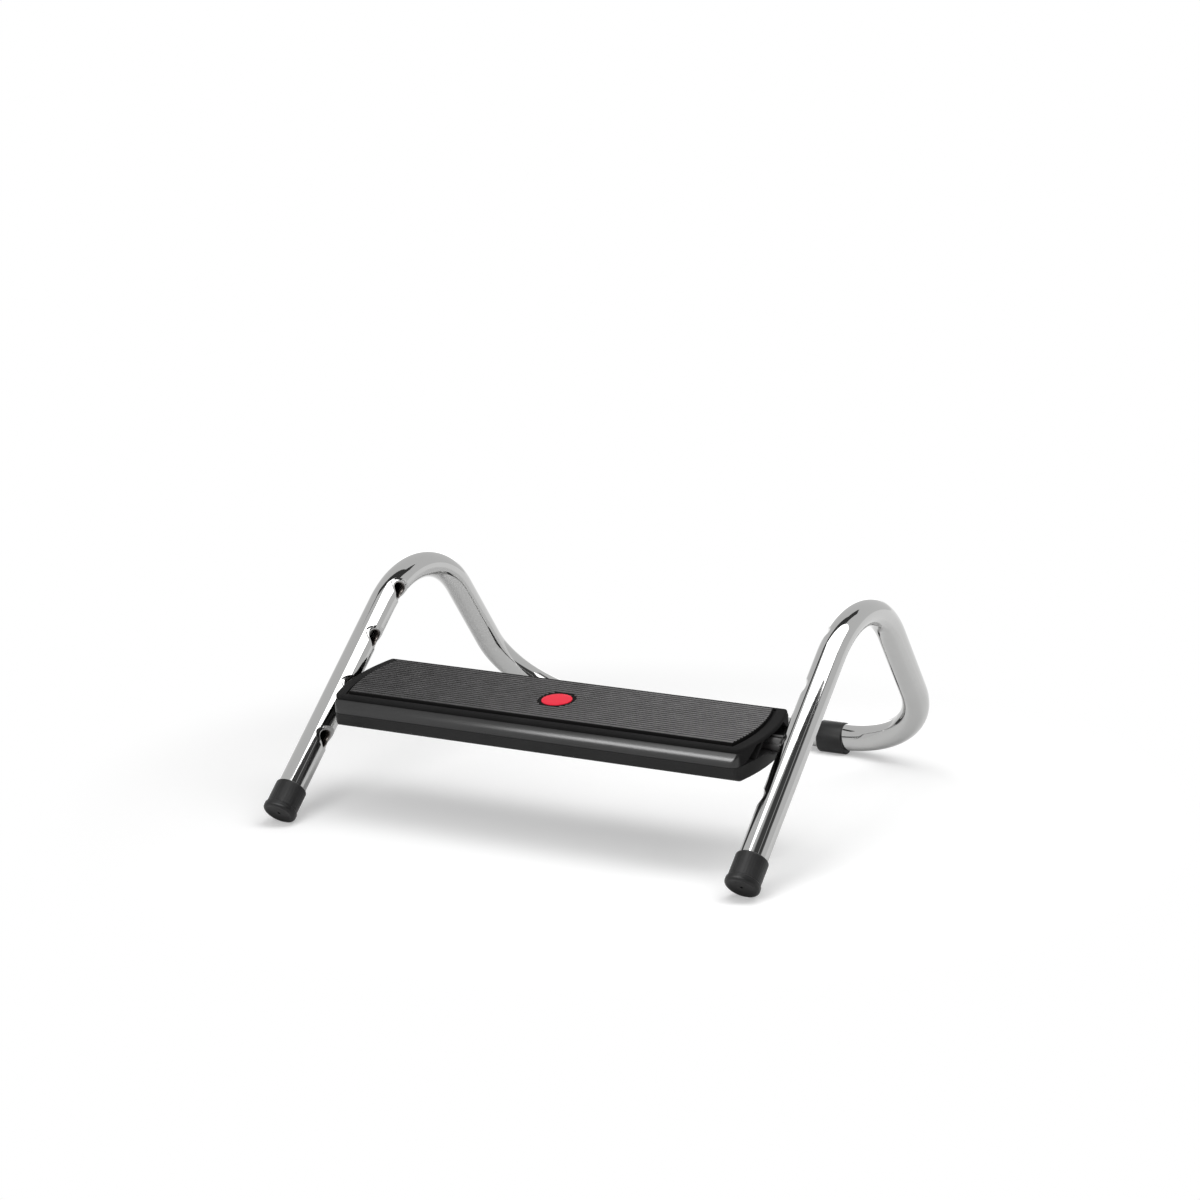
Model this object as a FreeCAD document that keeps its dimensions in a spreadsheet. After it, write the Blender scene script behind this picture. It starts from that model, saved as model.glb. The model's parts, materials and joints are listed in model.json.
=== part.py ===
"""Free-standing footrest: a bent tube frame that carries a tilting tread platform.

Millimetres, +Z up, +X to the sitter's right seen from the front, -Y towards the sitter.
The origin lies on the floor under the middle of the overall box.
The platform is drawn flat about its tilt axis and then placed at its resting angle.
"""
import FreeCAD
import Part
import Sketcher
import math
import os

from FreeCAD import Placement, Rotation, Vector

# Driving dimensions: alias, value, meaning
SIZES = (
    ("tube_radius", "12.5", "outside radius of the frame tube"),
    ("tube_wall", "1.5", "wall of the frame tube"),
    ("side_spacing", "446", "centre to centre of the two side frames"),
    ("front_angle", "40.7", "front leg above the floor, degrees"),
    ("rear_angle", "49.1", "rear leg above the floor, degrees"),
    ("apex_height", "226.7", "height where the two leg centre lines would meet"),
    ("apex_bend", "100", "centre line radius of the top bends"),
    ("rear_bend", "95.5", "centre line radius of the bends into the crossbar"),
    ("crossbar_height", "16", "crossbar centre line above the floor"),
    ("socket_first", "79.7", "apex to first socket, along the leg"),
    ("socket_pitch", "56.4", "socket to socket, along the leg"),
    ("socket_count", "4", "sockets in each front leg"),
    ("socket_used", "3", "socket that carries the platform, counted from the top"),
    ("socket_radius", "6.5", "round part of a socket"),
    ("socket_tip", "10", "socket centre to the point of the teardrop"),
    ("dish_radius", "14", "mouth of the drawn-in dish round a socket"),
    ("dish_depth", "3.2", "depth of that dish"),
    ("press_gap", "0.05", "clearance of pieces that are pushed together"),
    ("running_gap", "0.08", "radial clearance of the turning stubs"),
    ("cap_wall", "1.7", "wall of a front foot cap"),
    ("cap_length", "28", "length of a front foot cap"),
    ("cap_base", "4.5", "closed end of a foot cap"),
    ("cap_bead", "0.95", "bead of a foot cap beyond its wall"),
    ("cap_bead_height", "6", "height of that bead"),
    ("cap_edge", "2.4", "rounding of the closed end"),
    ("cap_lip", "1.2", "rounding of the open end"),
    ("cap_flat", "0.4", "flat worn into a cap where it stands"),
    ("cap_dimple", "1.3", "radius of the dimple in the closed end"),
    ("cap_dimple_depth", "1.2", "depth of that dimple"),
    ("sleeve_wall", "1.1", "wall of a rear sleeve at its top, its thinnest place"),
    ("sleeve_inset", "20.5", "inner end of a sleeve before the bend starts"),
    ("sleeve_start", "=side_spacing / 2 - rear_bend - sleeve_inset", "middle of the crossbar to a sleeve"),
    ("sleeve_length", "27.5", "length of a sleeve along the tube"),
    ("sleeve_flat", "0.4", "flat worn into a sleeve where it stands"),
    ("sleeve_edge", "0.6", "rounding of a sleeve's ends"),
    ("tilt", "7", "platform above level at rest, degrees"),
    ("nose_depth", "55", "half depth of the platform at its noses"),
    ("end_gap", "6.5", "platform's end to the inner side of the tube"),
    ("end_length", "=side_spacing / 2 - tube_radius - end_gap", "half length of the platform at mid depth"),
    ("end_bow", "155", "plan radius of the bowed ends"),
    ("end_corner", "4", "plan radius of the corners"),
    ("corner_run", "3.8", "plan length of a corner along the platform"),
    ("corner_inset", "2.6", "nose back to where the corners start"),
    ("corner_depth", "=nose_depth - corner_inset", "half depth where the corners start"),
    ("seam_level", "-1.25", "joint between shell and tray, from the tilt axis"),
    ("seam_gap", "0.5", "visible gap along that joint"),
    ("nose_bend", "13", "profile radius of a nose"),
    ("crease_inset", "4.8", "nose back to the crease"),
    ("crease_depth", "=nose_depth - crease_inset", "half depth where the nose meets the lip"),
    ("crease_level", "10.2", "level where the nose meets the lip"),
    ("crease_cut", "1", "depth and height of the crease"),
    ("lip_level", "13.8", "top of the lip round the tread"),
    ("lip_width", "6", "crease to the tread bed"),
    ("lip_inner", "=crease_depth - lip_width", "half depth of the tread bed"),
    ("lip_round", "2.3", "rounding of the lip's outer edge"),
    ("bed_level", "12.2", "bed under the tread"),
    ("shell_wall", "2.5", "wall of shell and tray"),
    ("recess_run", "11", "length of an end recess along the platform"),
    ("recess_length", "=end_length - recess_run", "middle of the platform to the face of an end recess"),
    ("end_wall", "3", "wall between an end recess and the hollow inside"),
    ("hollow_length", "=recess_length - end_wall", "half length of the hollow inside"),
    ("recess_top", "10.6", "ceiling of an end recess"),
    ("recess_shoulder", "27", "half depth of an end recess at its ceiling"),
    ("recess_inset", "11.4", "nose back to an end recess at the seam"),
    ("recess_depth", "=nose_depth - recess_inset", "half depth of an end recess at the seam"),
    ("brace_wall", "3", "thickness of the slanted brace in each half of a recess"),
    ("brace_head", "18", "platform middle to the top of a brace"),
    ("brace_foot", "29", "platform middle to the foot of a brace"),
    ("tray_bottom", "-14.6", "underside of the tray"),
    ("tray_inset", "0.3", "nose back to the tray at the seam"),
    ("tray_side", "=nose_depth - tray_inset", "half depth of the tray at the seam"),
    ("knee_inset", "2.1", "tray's side back to its knee"),
    ("tray_knee", "=tray_side - knee_inset", "half depth of the tray at its knee"),
    ("tray_knee_level", "-11.5", "level of that knee"),
    ("sole_inset", "3", "tray's knee back to the flat underside"),
    ("tray_sole", "=tray_knee - sole_inset", "half depth of the flat underside"),
    ("axle_setback", "2.5", "tilt axis behind the middle of the platform"),
    ("axle_radius", "4", "steel axle"),
    ("axle_inset", "8", "axle end inside the tip of a stub"),
    ("stub_reach", "7", "stub beyond the inner side of the tube"),
    ("stub_flange", "8.6", "radius of the flange that holds a stub"),
    ("stub_flange_wall", "2.4", "thickness of that flange"),
    ("stub_collar", "8.3", "radius of the grooved collar outside the recess face"),
    ("collar_reach", "2", "collar beyond the inner side of the tube, into the dish"),
    ("collar_gap", "0.1", "clearance of the collar in the tray's saddle"),
    ("stub_groove", "1.1", "depth of the grooves along a collar"),
    ("stub_groove_width", "1.8", "width of those grooves"),
    ("stub_grooves", "8", "grooves in a collar"),
    ("stub_turn", "18", "first groove from the depth direction, degrees"),
    ("stub_chamfer", "1", "chamfer at the tip of a stub"),
    ("rib_wall", "1.8", "thickness of the ribs inside the platform"),
    ("boss_radius", "4.5", "screw bosses"),
    ("boss_inset", "21", "nose back to a boss"),
    ("boss_depth", "=nose_depth - boss_inset", "boss to the long centre line"),
    ("boss_end", "35", "outermost boss to the end of the hollow"),
    ("boss_pitch", "=hollow_length - boss_end", "boss to boss along the platform"),
    ("rib_pitch", "=boss_pitch * 2 / 5", "rib to rib inside the platform, clear of the bosses"),
    ("screw_radius", "1.6", "thread of the tray screws"),
    ("screw_head", "3.4", "head radius of the tray screws"),
    ("screw_head_height", "2", "head height of the tray screws"),
    ("screw_length", "19", "length of the tray screws under the head"),
    ("screw_slot", "1", "half width and depth of the drive recess"),
    ("screw_sink", "1.2", "screw head below the underside"),
    ("mat_groove", "2.6", "groove between the tread bed's edge and the mat"),
    ("mat_depth", "=lip_inner - mat_groove", "half depth of the tread mat"),
    ("mat_inset", "12", "platform's end to the end of the mat"),
    ("mat_length", "=end_length - mat_inset", "half length of the mat at mid depth"),
    ("mat_bow", "143", "plan radius of the mat ends"),
    ("mat_base", "3", "thickness of the mat under its ribs"),
    ("tread_height", "0.8", "height of the tread ribs"),
    ("tread_width", "2.3", "width of a tread rib"),
    ("tread_count", "20", "number of tread ribs"),
    ("mat_margin", "1.5", "outermost tread rib to the edge of the mat"),
    ("tread_span", "=2 * (mat_depth - mat_margin) - tread_width", "first tread rib to the last"),
    ("badge_radius", "13.5", "round badge"),
    ("badge_height", "1.6", "thickness of the badge"),
    ("badge_sink", "0.9", "badge seat below the top of the mat base"),
    ("badge_field", "16.6", "radius of the smooth field round the badge"),
    ("badge_edge", "0.5", "rounding of the badge"),
    ("overrun", "5", "how far cutters run past what they cut"),
)


class Size:
    """A dimension that carries its number and the expression behind it."""

    def __init__(self, value, text):
        self.value = value
        self.text = text

    def __add__(self, other):
        other = as_size(other)
        return Size(self.value + other.value, f"({self.text} + {other.text})")

    def __sub__(self, other):
        other = as_size(other)
        return Size(self.value - other.value, f"({self.text} - {other.text})")

    def __mul__(self, other):
        other = as_size(other)
        return Size(self.value * other.value, f"({self.text} * {other.text})")

    def __truediv__(self, other):
        other = as_size(other)
        return Size(self.value / other.value, f"({self.text} / {other.text})")

    def __neg__(self):
        return Size(-self.value, f"(-{self.text})")

    def __abs__(self):
        return self if self.value >= 0 else -self


def as_size(other):
    return other if isinstance(other, Size) else Size(float(other), repr(float(other)))


def fill_sheet(doc):
    sheet = doc.addObject("Spreadsheet::Sheet", "Sizes")
    for row, (alias, value, meaning) in enumerate(SIZES, start=1):
        sheet.set(f"A{row}", value)
        sheet.setAlias(f"A{row}", alias)
        sheet.set(f"B{row}", meaning)
    doc.recompute()
    return {alias: Size(float(sheet.get(alias)), f"Sizes.{alias}") for alias, _, _ in SIZES}


DOC = FreeCAD.newDocument("footrest")
S = fill_sheet(DOC)
ZERO = Size(0.0, "0")


def val(name):
    return S[name].value


# Sketch and feature helpers

def new_body(name):
    body = DOC.addObject("PartDesign::Body", name)
    body.Label = name
    return body


def new_sketch(body, role, name, offset=None):
    sketch = body.newObject("Sketcher::SketchObject", f"{body.Name}_{name}")
    plane = [f for f in body.Origin.OriginFeatures if f.Role == role][0]
    sketch.AttachmentSupport = (plane, [""])
    sketch.MapMode = "FlatFace"
    if offset is not None:
        sketch.AttachmentOffset = Placement(Vector(0, 0, offset.value), Rotation())
        sketch.setExpression("AttachmentOffset.Base.z", offset.text)
    return sketch


def bind(sketch, index, size):
    sketch.setExpression(f"Constraints[{index}]", size.text)


def pin_point(sketch, geo, pos, point):
    """Hold one end of a line or arc at a point given by two sizes."""
    for kind, size, axis in (("DistanceX", point[0], -2), ("DistanceY", point[1], -1)):
        if size.text == "0":
            sketch.addConstraint(Sketcher.Constraint("PointOnObject", geo, pos, axis))
        else:
            bind(sketch, sketch.addConstraint(Sketcher.Constraint(kind, geo, pos, size.value)), size)


def arc_between(start, end, radius):
    """Arc that turns left for a positive radius and right for a negative one."""
    chord = end - start
    middle = (start + end) * 0.5
    side = Vector(-chord.y, chord.x, 0).normalize()
    rise = math.sqrt(radius * radius - chord.Length * chord.Length / 4)
    centre = middle + side * (rise if radius > 0 else -rise)
    crown = centre + (middle - centre).normalize() * abs(radius)
    return Part.Arc(start, crown, end)


def outline(sketch, corners):
    """Closed outline; a corner is (x, y) or (x, y, radius of the arc that leads to it)."""
    count = len(corners)
    places = [Vector(c[0].value, c[1].value, 0) for c in corners]
    first = sketch.GeometryCount
    ends = []
    for i in range(count):
        start = places[i]
        end = places[(i + 1) % count]
        corner = corners[(i + 1) % count]
        if len(corner) == 3:
            arc = arc_between(start, end, corner[2].value)
            sketch.addGeometry(arc, False)
            flipped = (sketch.Geometry[first + i].StartPoint - start).Length > 1e-6
            ends.append((2, 1) if flipped else (1, 2))
        else:
            sketch.addGeometry(Part.LineSegment(start, end), False)
            ends.append((1, 2))
    for i in range(count):
        following = (i + 1) % count
        sketch.addConstraint(Sketcher.Constraint("Coincident", first + i, ends[i][1], first + following,
                                                 ends[following][0]))
        pin_point(sketch, first + i, ends[i][0], corners[i])
        corner = corners[following]
        if len(corner) == 3:
            index = sketch.addConstraint(Sketcher.Constraint("Radius", first + i, abs(corner[2].value)))
            bind(sketch, index, abs(corner[2]))


def rectangle(sketch, x_low, y_low, x_high, y_high):
    outline(sketch, [(x_low, y_low), (x_high, y_low), (x_high, y_high), (x_low, y_high)])


def ring(sketch, x, y, radius):
    geo = sketch.addGeometry(Part.Circle(Vector(x.value, y.value, 0), Vector(0, 0, 1), radius.value), False)
    pin_point(sketch, geo, 3, (x, y))
    bind(sketch, sketch.addConstraint(Sketcher.Constraint("Radius", geo, radius.value)), radius)


def extrude(body, kind, sketch, length=None, midplane=False, backwards=False):
    """Pad or pocket; no length means through everything, both ways."""
    feature = body.newObject(f"PartDesign::{kind}", f"{sketch.Name}_{kind}")
    feature.Profile = sketch
    if length is None:
        feature.Type = "ThroughAll"
        feature.Midplane = True
    else:
        feature.Length = length.value
        feature.setExpression("Length", length.text)
        feature.Midplane = midplane
        feature.Reversed = backwards
    before = body.Shape.Volume if kind == "Pocket" else None
    DOC.recompute()
    if before is not None and not body.Shape.Volume < before:
        raise RuntimeError(f"{feature.Name} cuts nothing")
    return feature


def revolve(body, sketch, axis="V_Axis"):
    feature = body.newObject("PartDesign::Revolution", f"{sketch.Name}_Revolution")
    feature.Profile = sketch
    feature.ReferenceAxis = (sketch, [axis])
    feature.Angle = 360
    DOC.recompute()
    return feature


def repeat(body, feature, kind, direction, count, span):
    """Polar pattern over a full turn, or linear pattern over a span."""
    pattern = body.newObject(f"PartDesign::{kind}", f"{feature.Name}_{kind}")
    pattern.Originals = [feature]
    if kind == "PolarPattern":
        pattern.Axis = direction
        pattern.Angle = 360
    else:
        pattern.Direction = direction
        pattern.Length = span.value
        pattern.setExpression("Length", span.text)
    pattern.Occurrences = int(round(count.value))
    if count.text.startswith("Sizes"):
        pattern.setExpression("Occurrences", count.text)
    body.Tip = pattern
    DOC.recompute()
    return pattern


def origin_feature(body, role):
    return [f for f in body.Origin.OriginFeatures if f.Role == role][0]


def mirror_across(body, features, role):
    mirrored = body.newObject("PartDesign::Mirrored", f"{features[0].Name}_Mirrored")
    mirrored.Originals = features
    mirrored.MirrorPlane = (origin_feature(body, role), [""])
    body.Tip = mirrored
    DOC.recompute()
    return mirrored


# Where the frame runs, with the crossbar axis over y = 0

FRONT = math.radians(val("front_angle"))
REAR = math.radians(val("rear_angle"))
UP_FRONT = Vector(0, math.cos(FRONT), math.sin(FRONT))
DOWN_REAR = Vector(0, math.cos(REAR), -math.sin(REAR))
HALF_SPACING = val("side_spacing") / 2
APEX = Vector(HALF_SPACING, (val("crossbar_height") - val("apex_height")) / math.tan(REAR),
              val("apex_height"))
HEEL = Vector(HALF_SPACING, 0, val("crossbar_height"))
APEX_TANGENT = val("apex_bend") * math.tan((FRONT + REAR) / 2)


def cap_edge_reach(across, along):
    """How far a cap's rounded edge reaches from the middle of its closed end."""
    rounded = val("cap_edge")
    radius = val("tube_radius") + val("press_gap") + val("cap_wall") + val("cap_bead")
    return (radius - rounded) * across - rounded * along + rounded


CAP_END_HEIGHT = cap_edge_reach(math.cos(FRONT), math.sin(FRONT)) - val("cap_flat")
FOOT = APEX - UP_FRONT * ((val("apex_height") - CAP_END_HEIGHT) / math.sin(FRONT))
TUBE_END = FOOT + UP_FRONT * val("cap_base")
SOCKET_SPOT = val("socket_first") + (val("socket_used") - 1) * val("socket_pitch")
FRONT_REACH = FOOT.y - cap_edge_reach(math.sin(FRONT), math.cos(FRONT))
SLEEVE_TOP = val("crossbar_height") + val("tube_radius") + val("press_gap") + val("sleeve_wall")
REAR_REACH = (SLEEVE_TOP + val("sleeve_flat")) / 2
SHIFT = Vector(0, -(FRONT_REACH + REAR_REACH) / 2, 0)
PIVOT = APEX - UP_FRONT * SOCKET_SPOT - Vector(HALF_SPACING, 0, 0)


def leg_station(distance):
    """Point and upward direction on a front leg's centre line, measured down from the apex."""
    if distance >= APEX_TANGENT:
        return APEX - UP_FRONT * distance, UP_FRONT
    turn = (APEX_TANGENT - distance) / val("apex_bend")
    inward = Vector(0, math.sin(FRONT), -math.cos(FRONT))
    centre = APEX - UP_FRONT * APEX_TANGENT + inward * val("apex_bend")
    spoke = Rotation(Vector(1, 0, 0), -math.degrees(turn))
    return centre - spoke.multVec(inward) * val("apex_bend"), spoke.multVec(UP_FRONT)


def straight(start, end, radius):
    return Part.makeCylinder(radius, (end - start).Length, start, end - start)


def bend(corner, to_start, to_end, bend_radius, radius):
    """Bent run round a corner: a disc turned from one tangent point to the other."""
    half = to_start.getAngle(to_end) / 2
    tangent = bend_radius / math.tan(half)
    start = corner + to_start * tangent
    centre = corner + (to_start + to_end).normalize() * (bend_radius / math.sin(half))
    axis = to_end.cross(to_start).normalize()
    disc = Part.Face(Part.Wire(Part.makeCircle(radius, start, to_start)))
    run = disc.revolve(centre, axis, math.degrees(math.pi - 2 * half))
    return run, start, corner + to_end * tangent


def frame_run(radius, end_overrun=0.0):
    """Solid of the whole bent path at one radius, both sides."""
    pieces = []
    crossbar = []
    for side in (1, -1):
        apex = Vector(APEX.x * side, APEX.y, APEX.z)
        heel = Vector(HEEL.x * side, HEEL.y, HEEL.z)
        foot = Vector(TUBE_END.x * side, TUBE_END.y, TUBE_END.z) - UP_FRONT * end_overrun
        inward = Vector(-side, 0, 0)
        top, top_start, top_end = bend(apex, -UP_FRONT, DOWN_REAR, val("apex_bend"), radius)
        low, low_start, low_end = bend(heel, -DOWN_REAR, inward, val("rear_bend"), radius)
        pieces += [straight(foot, top_start, radius), top, straight(top_end, low_start, radius), low]
        crossbar.append(low_end)
    pieces.append(straight(crossbar[0], crossbar[1], radius))
    return pieces[0].multiFuse(pieces[1:])


def teardrop(centre, upward, radius, tip, x_low, x_high):
    """Prism along X: a circle with a point that lies down the leg."""
    across = upward.cross(Vector(1, 0, 0))
    half = math.acos(radius / tip)
    left = centre + (-upward * math.cos(half) + across * math.sin(half)) * radius
    right = centre + (-upward * math.cos(half) - across * math.sin(half)) * radius
    point = centre - upward * tip
    top = centre + upward * radius
    shift = Vector(x_low - centre.x, 0, 0)
    edges = [Part.Arc(left + shift, top + shift, right + shift).toShape(),
             Part.LineSegment(right + shift, point + shift).toShape(),
             Part.LineSegment(point + shift, left + shift).toShape()]
    return Part.Face(Part.Wire(edges)).extrude(Vector(x_high - x_low, 0, 0))


def socket_tools(side, number):
    """The pressed-in dish with its wall, and the cutter for its void and hole."""
    centre, upward = leg_station(val("socket_first") + (number - 1) * val("socket_pitch"))
    centre = Vector(centre.x * side, centre.y, centre.z)
    surface = centre.x - side * val("tube_radius")
    deep = surface + side * val("dish_depth")
    wall = val("tube_wall")
    outward = Vector(side, 0, 0)
    mouth = Vector(surface, centre.y, centre.z)
    void = Part.makeCone(val("dish_radius"), val("socket_radius"), val("dish_depth"), mouth, outward)
    cup = Part.makeCone(val("dish_radius") + wall, val("socket_radius") + wall,
                        val("dish_depth") + wall, mouth, outward)
    low, high = sorted((surface - side * val("overrun"), deep + side * (wall + val("overrun"))))
    hole = teardrop(centre, upward, val("socket_radius"), val("socket_tip"), low, high)
    return cup, void.fuse(hole)


def make_frame_tube():
    outer = frame_run(val("tube_radius"))
    bore = frame_run(val("tube_radius") - val("tube_wall"), val("overrun"))
    shape = outer.cut(bore)
    for side in (1, -1):
        for number in range(1, int(val("socket_count")) + 1):
            cup, cutter = socket_tools(side, number)
            shape = shape.fuse(cup.common(outer)).cut(cutter)
    keep(shape, "frame_tube", Placement(SHIFT, Rotation()))


def keep(shape, name, placement):
    feature = DOC.addObject("Part::Feature", name)
    feature.Label = name
    feature.Shape = shape
    feature.Placement = placement
    return feature


# Feet

def make_front_cap(side):
    name = ("right" if side == 1 else "left") + "_front_cap"
    body = new_body(name)
    bore = S["tube_radius"] + S["press_gap"]
    wall = bore + S["cap_wall"]
    bead = wall + S["cap_bead"]
    edge = S["cap_edge"]
    lip = S["cap_lip"]
    sketch = new_sketch(body, "XZ_Plane", "profile")
    outline(sketch, [
        (ZERO, S["cap_base"]), (ZERO, S["cap_dimple_depth"]), (S["cap_dimple"], S["cap_dimple_depth"]),
        (S["cap_dimple"], ZERO), (bead - edge, ZERO), (bead, edge, edge),
        (bead, S["cap_bead_height"] - S["cap_bead"]), (wall, S["cap_bead_height"]),
        (wall, S["cap_length"] - lip), (wall - lip, S["cap_length"], lip), (bore, S["cap_length"]),
        (bore, S["cap_base"])])
    revolve(body, sketch)
    floor = new_sketch(body, "YZ_Plane", "floor")
    # the floor meets the cap's own axis this far below its end
    drop = CAP_END_HEIGHT / math.sin(FRONT)
    reach = 2 * (bead + S["overrun"]).value
    near = Vector(0, -drop, 0)
    far = Vector(reach, reach / math.tan(FRONT) - drop, 0)
    low = Vector(reach, -drop, 0)
    for start, end in ((near, low), (low, far), (far, near)):
        floor.addGeometry(Part.LineSegment(start, end), False)
    extrude(body, "Pocket", floor)
    place = Placement(Vector(FOOT.x * side, FOOT.y, FOOT.z) + SHIFT,
                      Rotation(Vector(1, 0, 0), val("front_angle") - 90))
    body.Placement = place


def path_slice(distance, length, radius):
    """Solid round the left half of the tube's run, from the crossbar on into the bend."""
    outward = Vector(-1, 0, 0)
    heel = Vector(-HEEL.x, HEEL.y, HEEL.z)
    joint = bend(heel, -DOWN_REAR, -outward, val("rear_bend"), radius)[2]
    begin = Vector(-distance, 0, val("crossbar_height"))
    run = straight(begin, joint, radius)
    centre = joint - DOWN_REAR * val("rear_bend")
    axis = DOWN_REAR.cross(outward)
    turn = math.degrees((length - (joint - begin).Length) / val("rear_bend"))
    disc = Part.Face(Part.Wire(Part.makeCircle(radius, joint, outward)))
    return run.fuse(disc.revolve(centre, axis, turn))


def make_rear_sleeves():
    """Eccentric sleeves: thin over the crossbar, thick below, with a flat to stand on."""
    start = val("sleeve_start")
    length = val("sleeve_length")
    radius = REAR_REACH
    overrun = val("overrun")
    outer = Part.makeCylinder(radius, length, Vector(-start, 0, SLEEVE_TOP - radius), Vector(-1, 0, 0))
    rims = [e for e in outer.Edges if e.Closed and isinstance(e.Curve, Part.Circle)]
    outer = outer.makeFillet(val("sleeve_edge"), rims)
    ground = Part.makeBox(length + 2 * overrun, 4 * radius, radius,
                          Vector(-start - length - overrun, -2 * radius, -radius))
    bore = path_slice(start - overrun, length + 2 * overrun, val("tube_radius") + val("press_gap"))
    left = outer.cut(ground).cut(bore)
    right = left.mirror(Vector(0, 0, 0), Vector(1, 0, 0))
    for name, sleeve in (("left_rear_sleeve", left), ("right_rear_sleeve", right)):
        keep(sleeve, name, Placement(SHIFT, Rotation()))


# Platform, drawn flat: X along, Y to the back, Z up from the tilt axis

def platform_placement():
    """From the platform's own drawing to its place at rest."""
    turned = Rotation(Vector(1, 0, 0), val("tilt"))
    return Placement(PIVOT + SHIFT + turned.multVec(Vector(0, -val("axle_setback"), 0)), turned)


def bow_drop(bow, half):
    """How much a bowed end falls back at half its width."""
    drop = bow.value - math.sqrt(bow.value ** 2 - half.value ** 2)
    return Size(drop, f"({bow.text} - sqrt({bow.text}^2 - {half.text}^2))")


def bowed_strip(length, half, bow):
    """Plan of a strip with straight long sides and bowed ends."""
    x_corner = length - bow_drop(bow, half)
    return [(x_corner, -half), (x_corner, half, bow), (-x_corner, half), (-x_corner, -half, bow)]


def plan_corners():
    """Bowed plan outline of the platform with its rounded corners."""
    depth = S["nose_depth"]
    step = S["corner_depth"]
    bow = S["end_bow"]
    x_corner = S["end_length"] - bow_drop(bow, step)
    x_nose = x_corner - S["corner_run"]
    corner = S["end_corner"]
    return [(x_nose, -depth), (x_corner, -step, corner), (x_corner, step, bow), (x_nose, depth, corner),
            (-x_nose, depth), (-x_corner, step, corner), (-x_corner, -step, bow), (-x_nose, -depth, corner)]


def trim_to_plan(body):
    """Cut away all that lies outside the plan outline."""
    sketch = new_sketch(body, "XY_Plane", "plan")
    far_x = S["end_length"] + S["overrun"] * 4
    far_y = S["nose_depth"] + S["overrun"] * 4
    rectangle(sketch, -far_x, -far_y, far_x, far_y)
    outline(sketch, plan_corners())
    return extrude(body, "Pocket", sketch)


def mirrored_profile(half):
    """Close a profile from its +Y half, drawn from bottom to top."""
    back = []
    for i in range(len(half) - 1, -1, -1):
        point = half[i]
        previous = half[i + 1] if i + 1 < len(half) else None
        x = point[0] if point[0].text == "0" else -point[0]
        if previous is not None and len(previous) == 3:
            back.append((x, point[1], previous[2]))
        else:
            back.append((x, point[1]))
    return list(half) + back


def screw_spots():
    return [(S["boss_pitch"] * step, S["boss_depth"] * side) for step in (-1, 0, 1) for side in (-1, 1)]


def spot(pair):
    return tuple(ZERO if size.value == 0 else size for size in pair)


def make_top_shell():
    body = new_body("top_shell")
    lower = S["seam_level"] + S["seam_gap"] / 2
    crease = S["crease_cut"]
    wall = S["shell_wall"]
    half = [(S["nose_depth"], lower), (S["crease_depth"], S["crease_level"], S["nose_bend"]),
            (S["crease_depth"] - crease, S["crease_level"] - crease),
            (S["crease_depth"] - crease, S["lip_level"] - S["lip_round"]),
            (S["crease_depth"] - crease - S["lip_round"], S["lip_level"], S["lip_round"]),
            (S["lip_inner"], S["lip_level"]), (S["lip_inner"], S["bed_level"])]
    sketch = new_sketch(body, "YZ_Plane", "section")
    outline(sketch, mirrored_profile(half))
    extrude(body, "Pad", sketch, S["end_length"] * 2, midplane=True)
    hollow = new_sketch(body, "YZ_Plane", "hollow")
    ceiling = S["bed_level"] - wall
    outline(hollow, mirrored_profile([
        (S["nose_depth"] - wall, lower - S["overrun"]), (S["nose_depth"] - wall, lower + wall),
        (S["crease_depth"] - wall, S["crease_level"] - crease - wall),
        (S["lip_inner"] - wall, ceiling)]))
    extrude(body, "Pocket", hollow, S["hollow_length"] * 2, midplane=True)
    end_rim(body)
    recess = new_sketch(body, "YZ_Plane", "recess", S["recess_length"])
    outline(recess, mirrored_profile([
        (S["recess_depth"], lower - S["overrun"]), (S["recess_depth"], lower),
        (S["recess_shoulder"], S["recess_top"])]))
    cut = extrude(body, "Pocket", recess, S["recess_run"] + S["overrun"], backwards=True)
    mirror_across(body, [cut], "YZ_Plane")
    mirror_across(body, [make_brace(body, lower, sign) for sign in (-1, 1)], "YZ_Plane")
    stub_hole(body)
    bosses = new_sketch(body, "XY_Plane", "bosses", S["seam_level"])
    for pair in screw_spots():
        ring(bosses, *spot(pair), S["boss_radius"])
    extrude(body, "Pad", bosses, ceiling - S["seam_level"] + S["press_gap"])
    pilots = new_sketch(body, "XY_Plane", "pilots", S["seam_level"])
    for pair in screw_spots():
        ring(pilots, *spot(pair), S["screw_radius"] + S["press_gap"])
    extrude(body, "Pocket", pilots, S["bed_level"] - S["seam_level"] - wall / 2, backwards=True)
    make_inner_ribs(body, S["axle_radius"] + S["press_gap"], ceiling + S["press_gap"])
    groove = S["mat_groove"]
    bed = new_sketch(body, "XY_Plane", "bed", S["bed_level"])
    outline(bed, bowed_strip(S["mat_length"] + groove, S["lip_inner"], S["mat_bow"] + groove))
    extrude(body, "Pocket", bed, S["overrun"], backwards=True)
    trim_to_plan(body)
    body.Placement = platform_placement()


def end_rim(body):
    """Close the lip across both ends, round the bowed bed."""
    sketch = new_sketch(body, "XY_Plane", "end_rim", S["bed_level"])
    near = S["mat_length"] - S["overrun"] * 4
    half = S["lip_inner"] + S["press_gap"]
    rectangle(sketch, near, -half, S["end_length"], half)
    rectangle(sketch, -S["end_length"], -half, -near, half)
    extrude(body, "Pad", sketch, S["lip_level"] - S["bed_level"])


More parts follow.
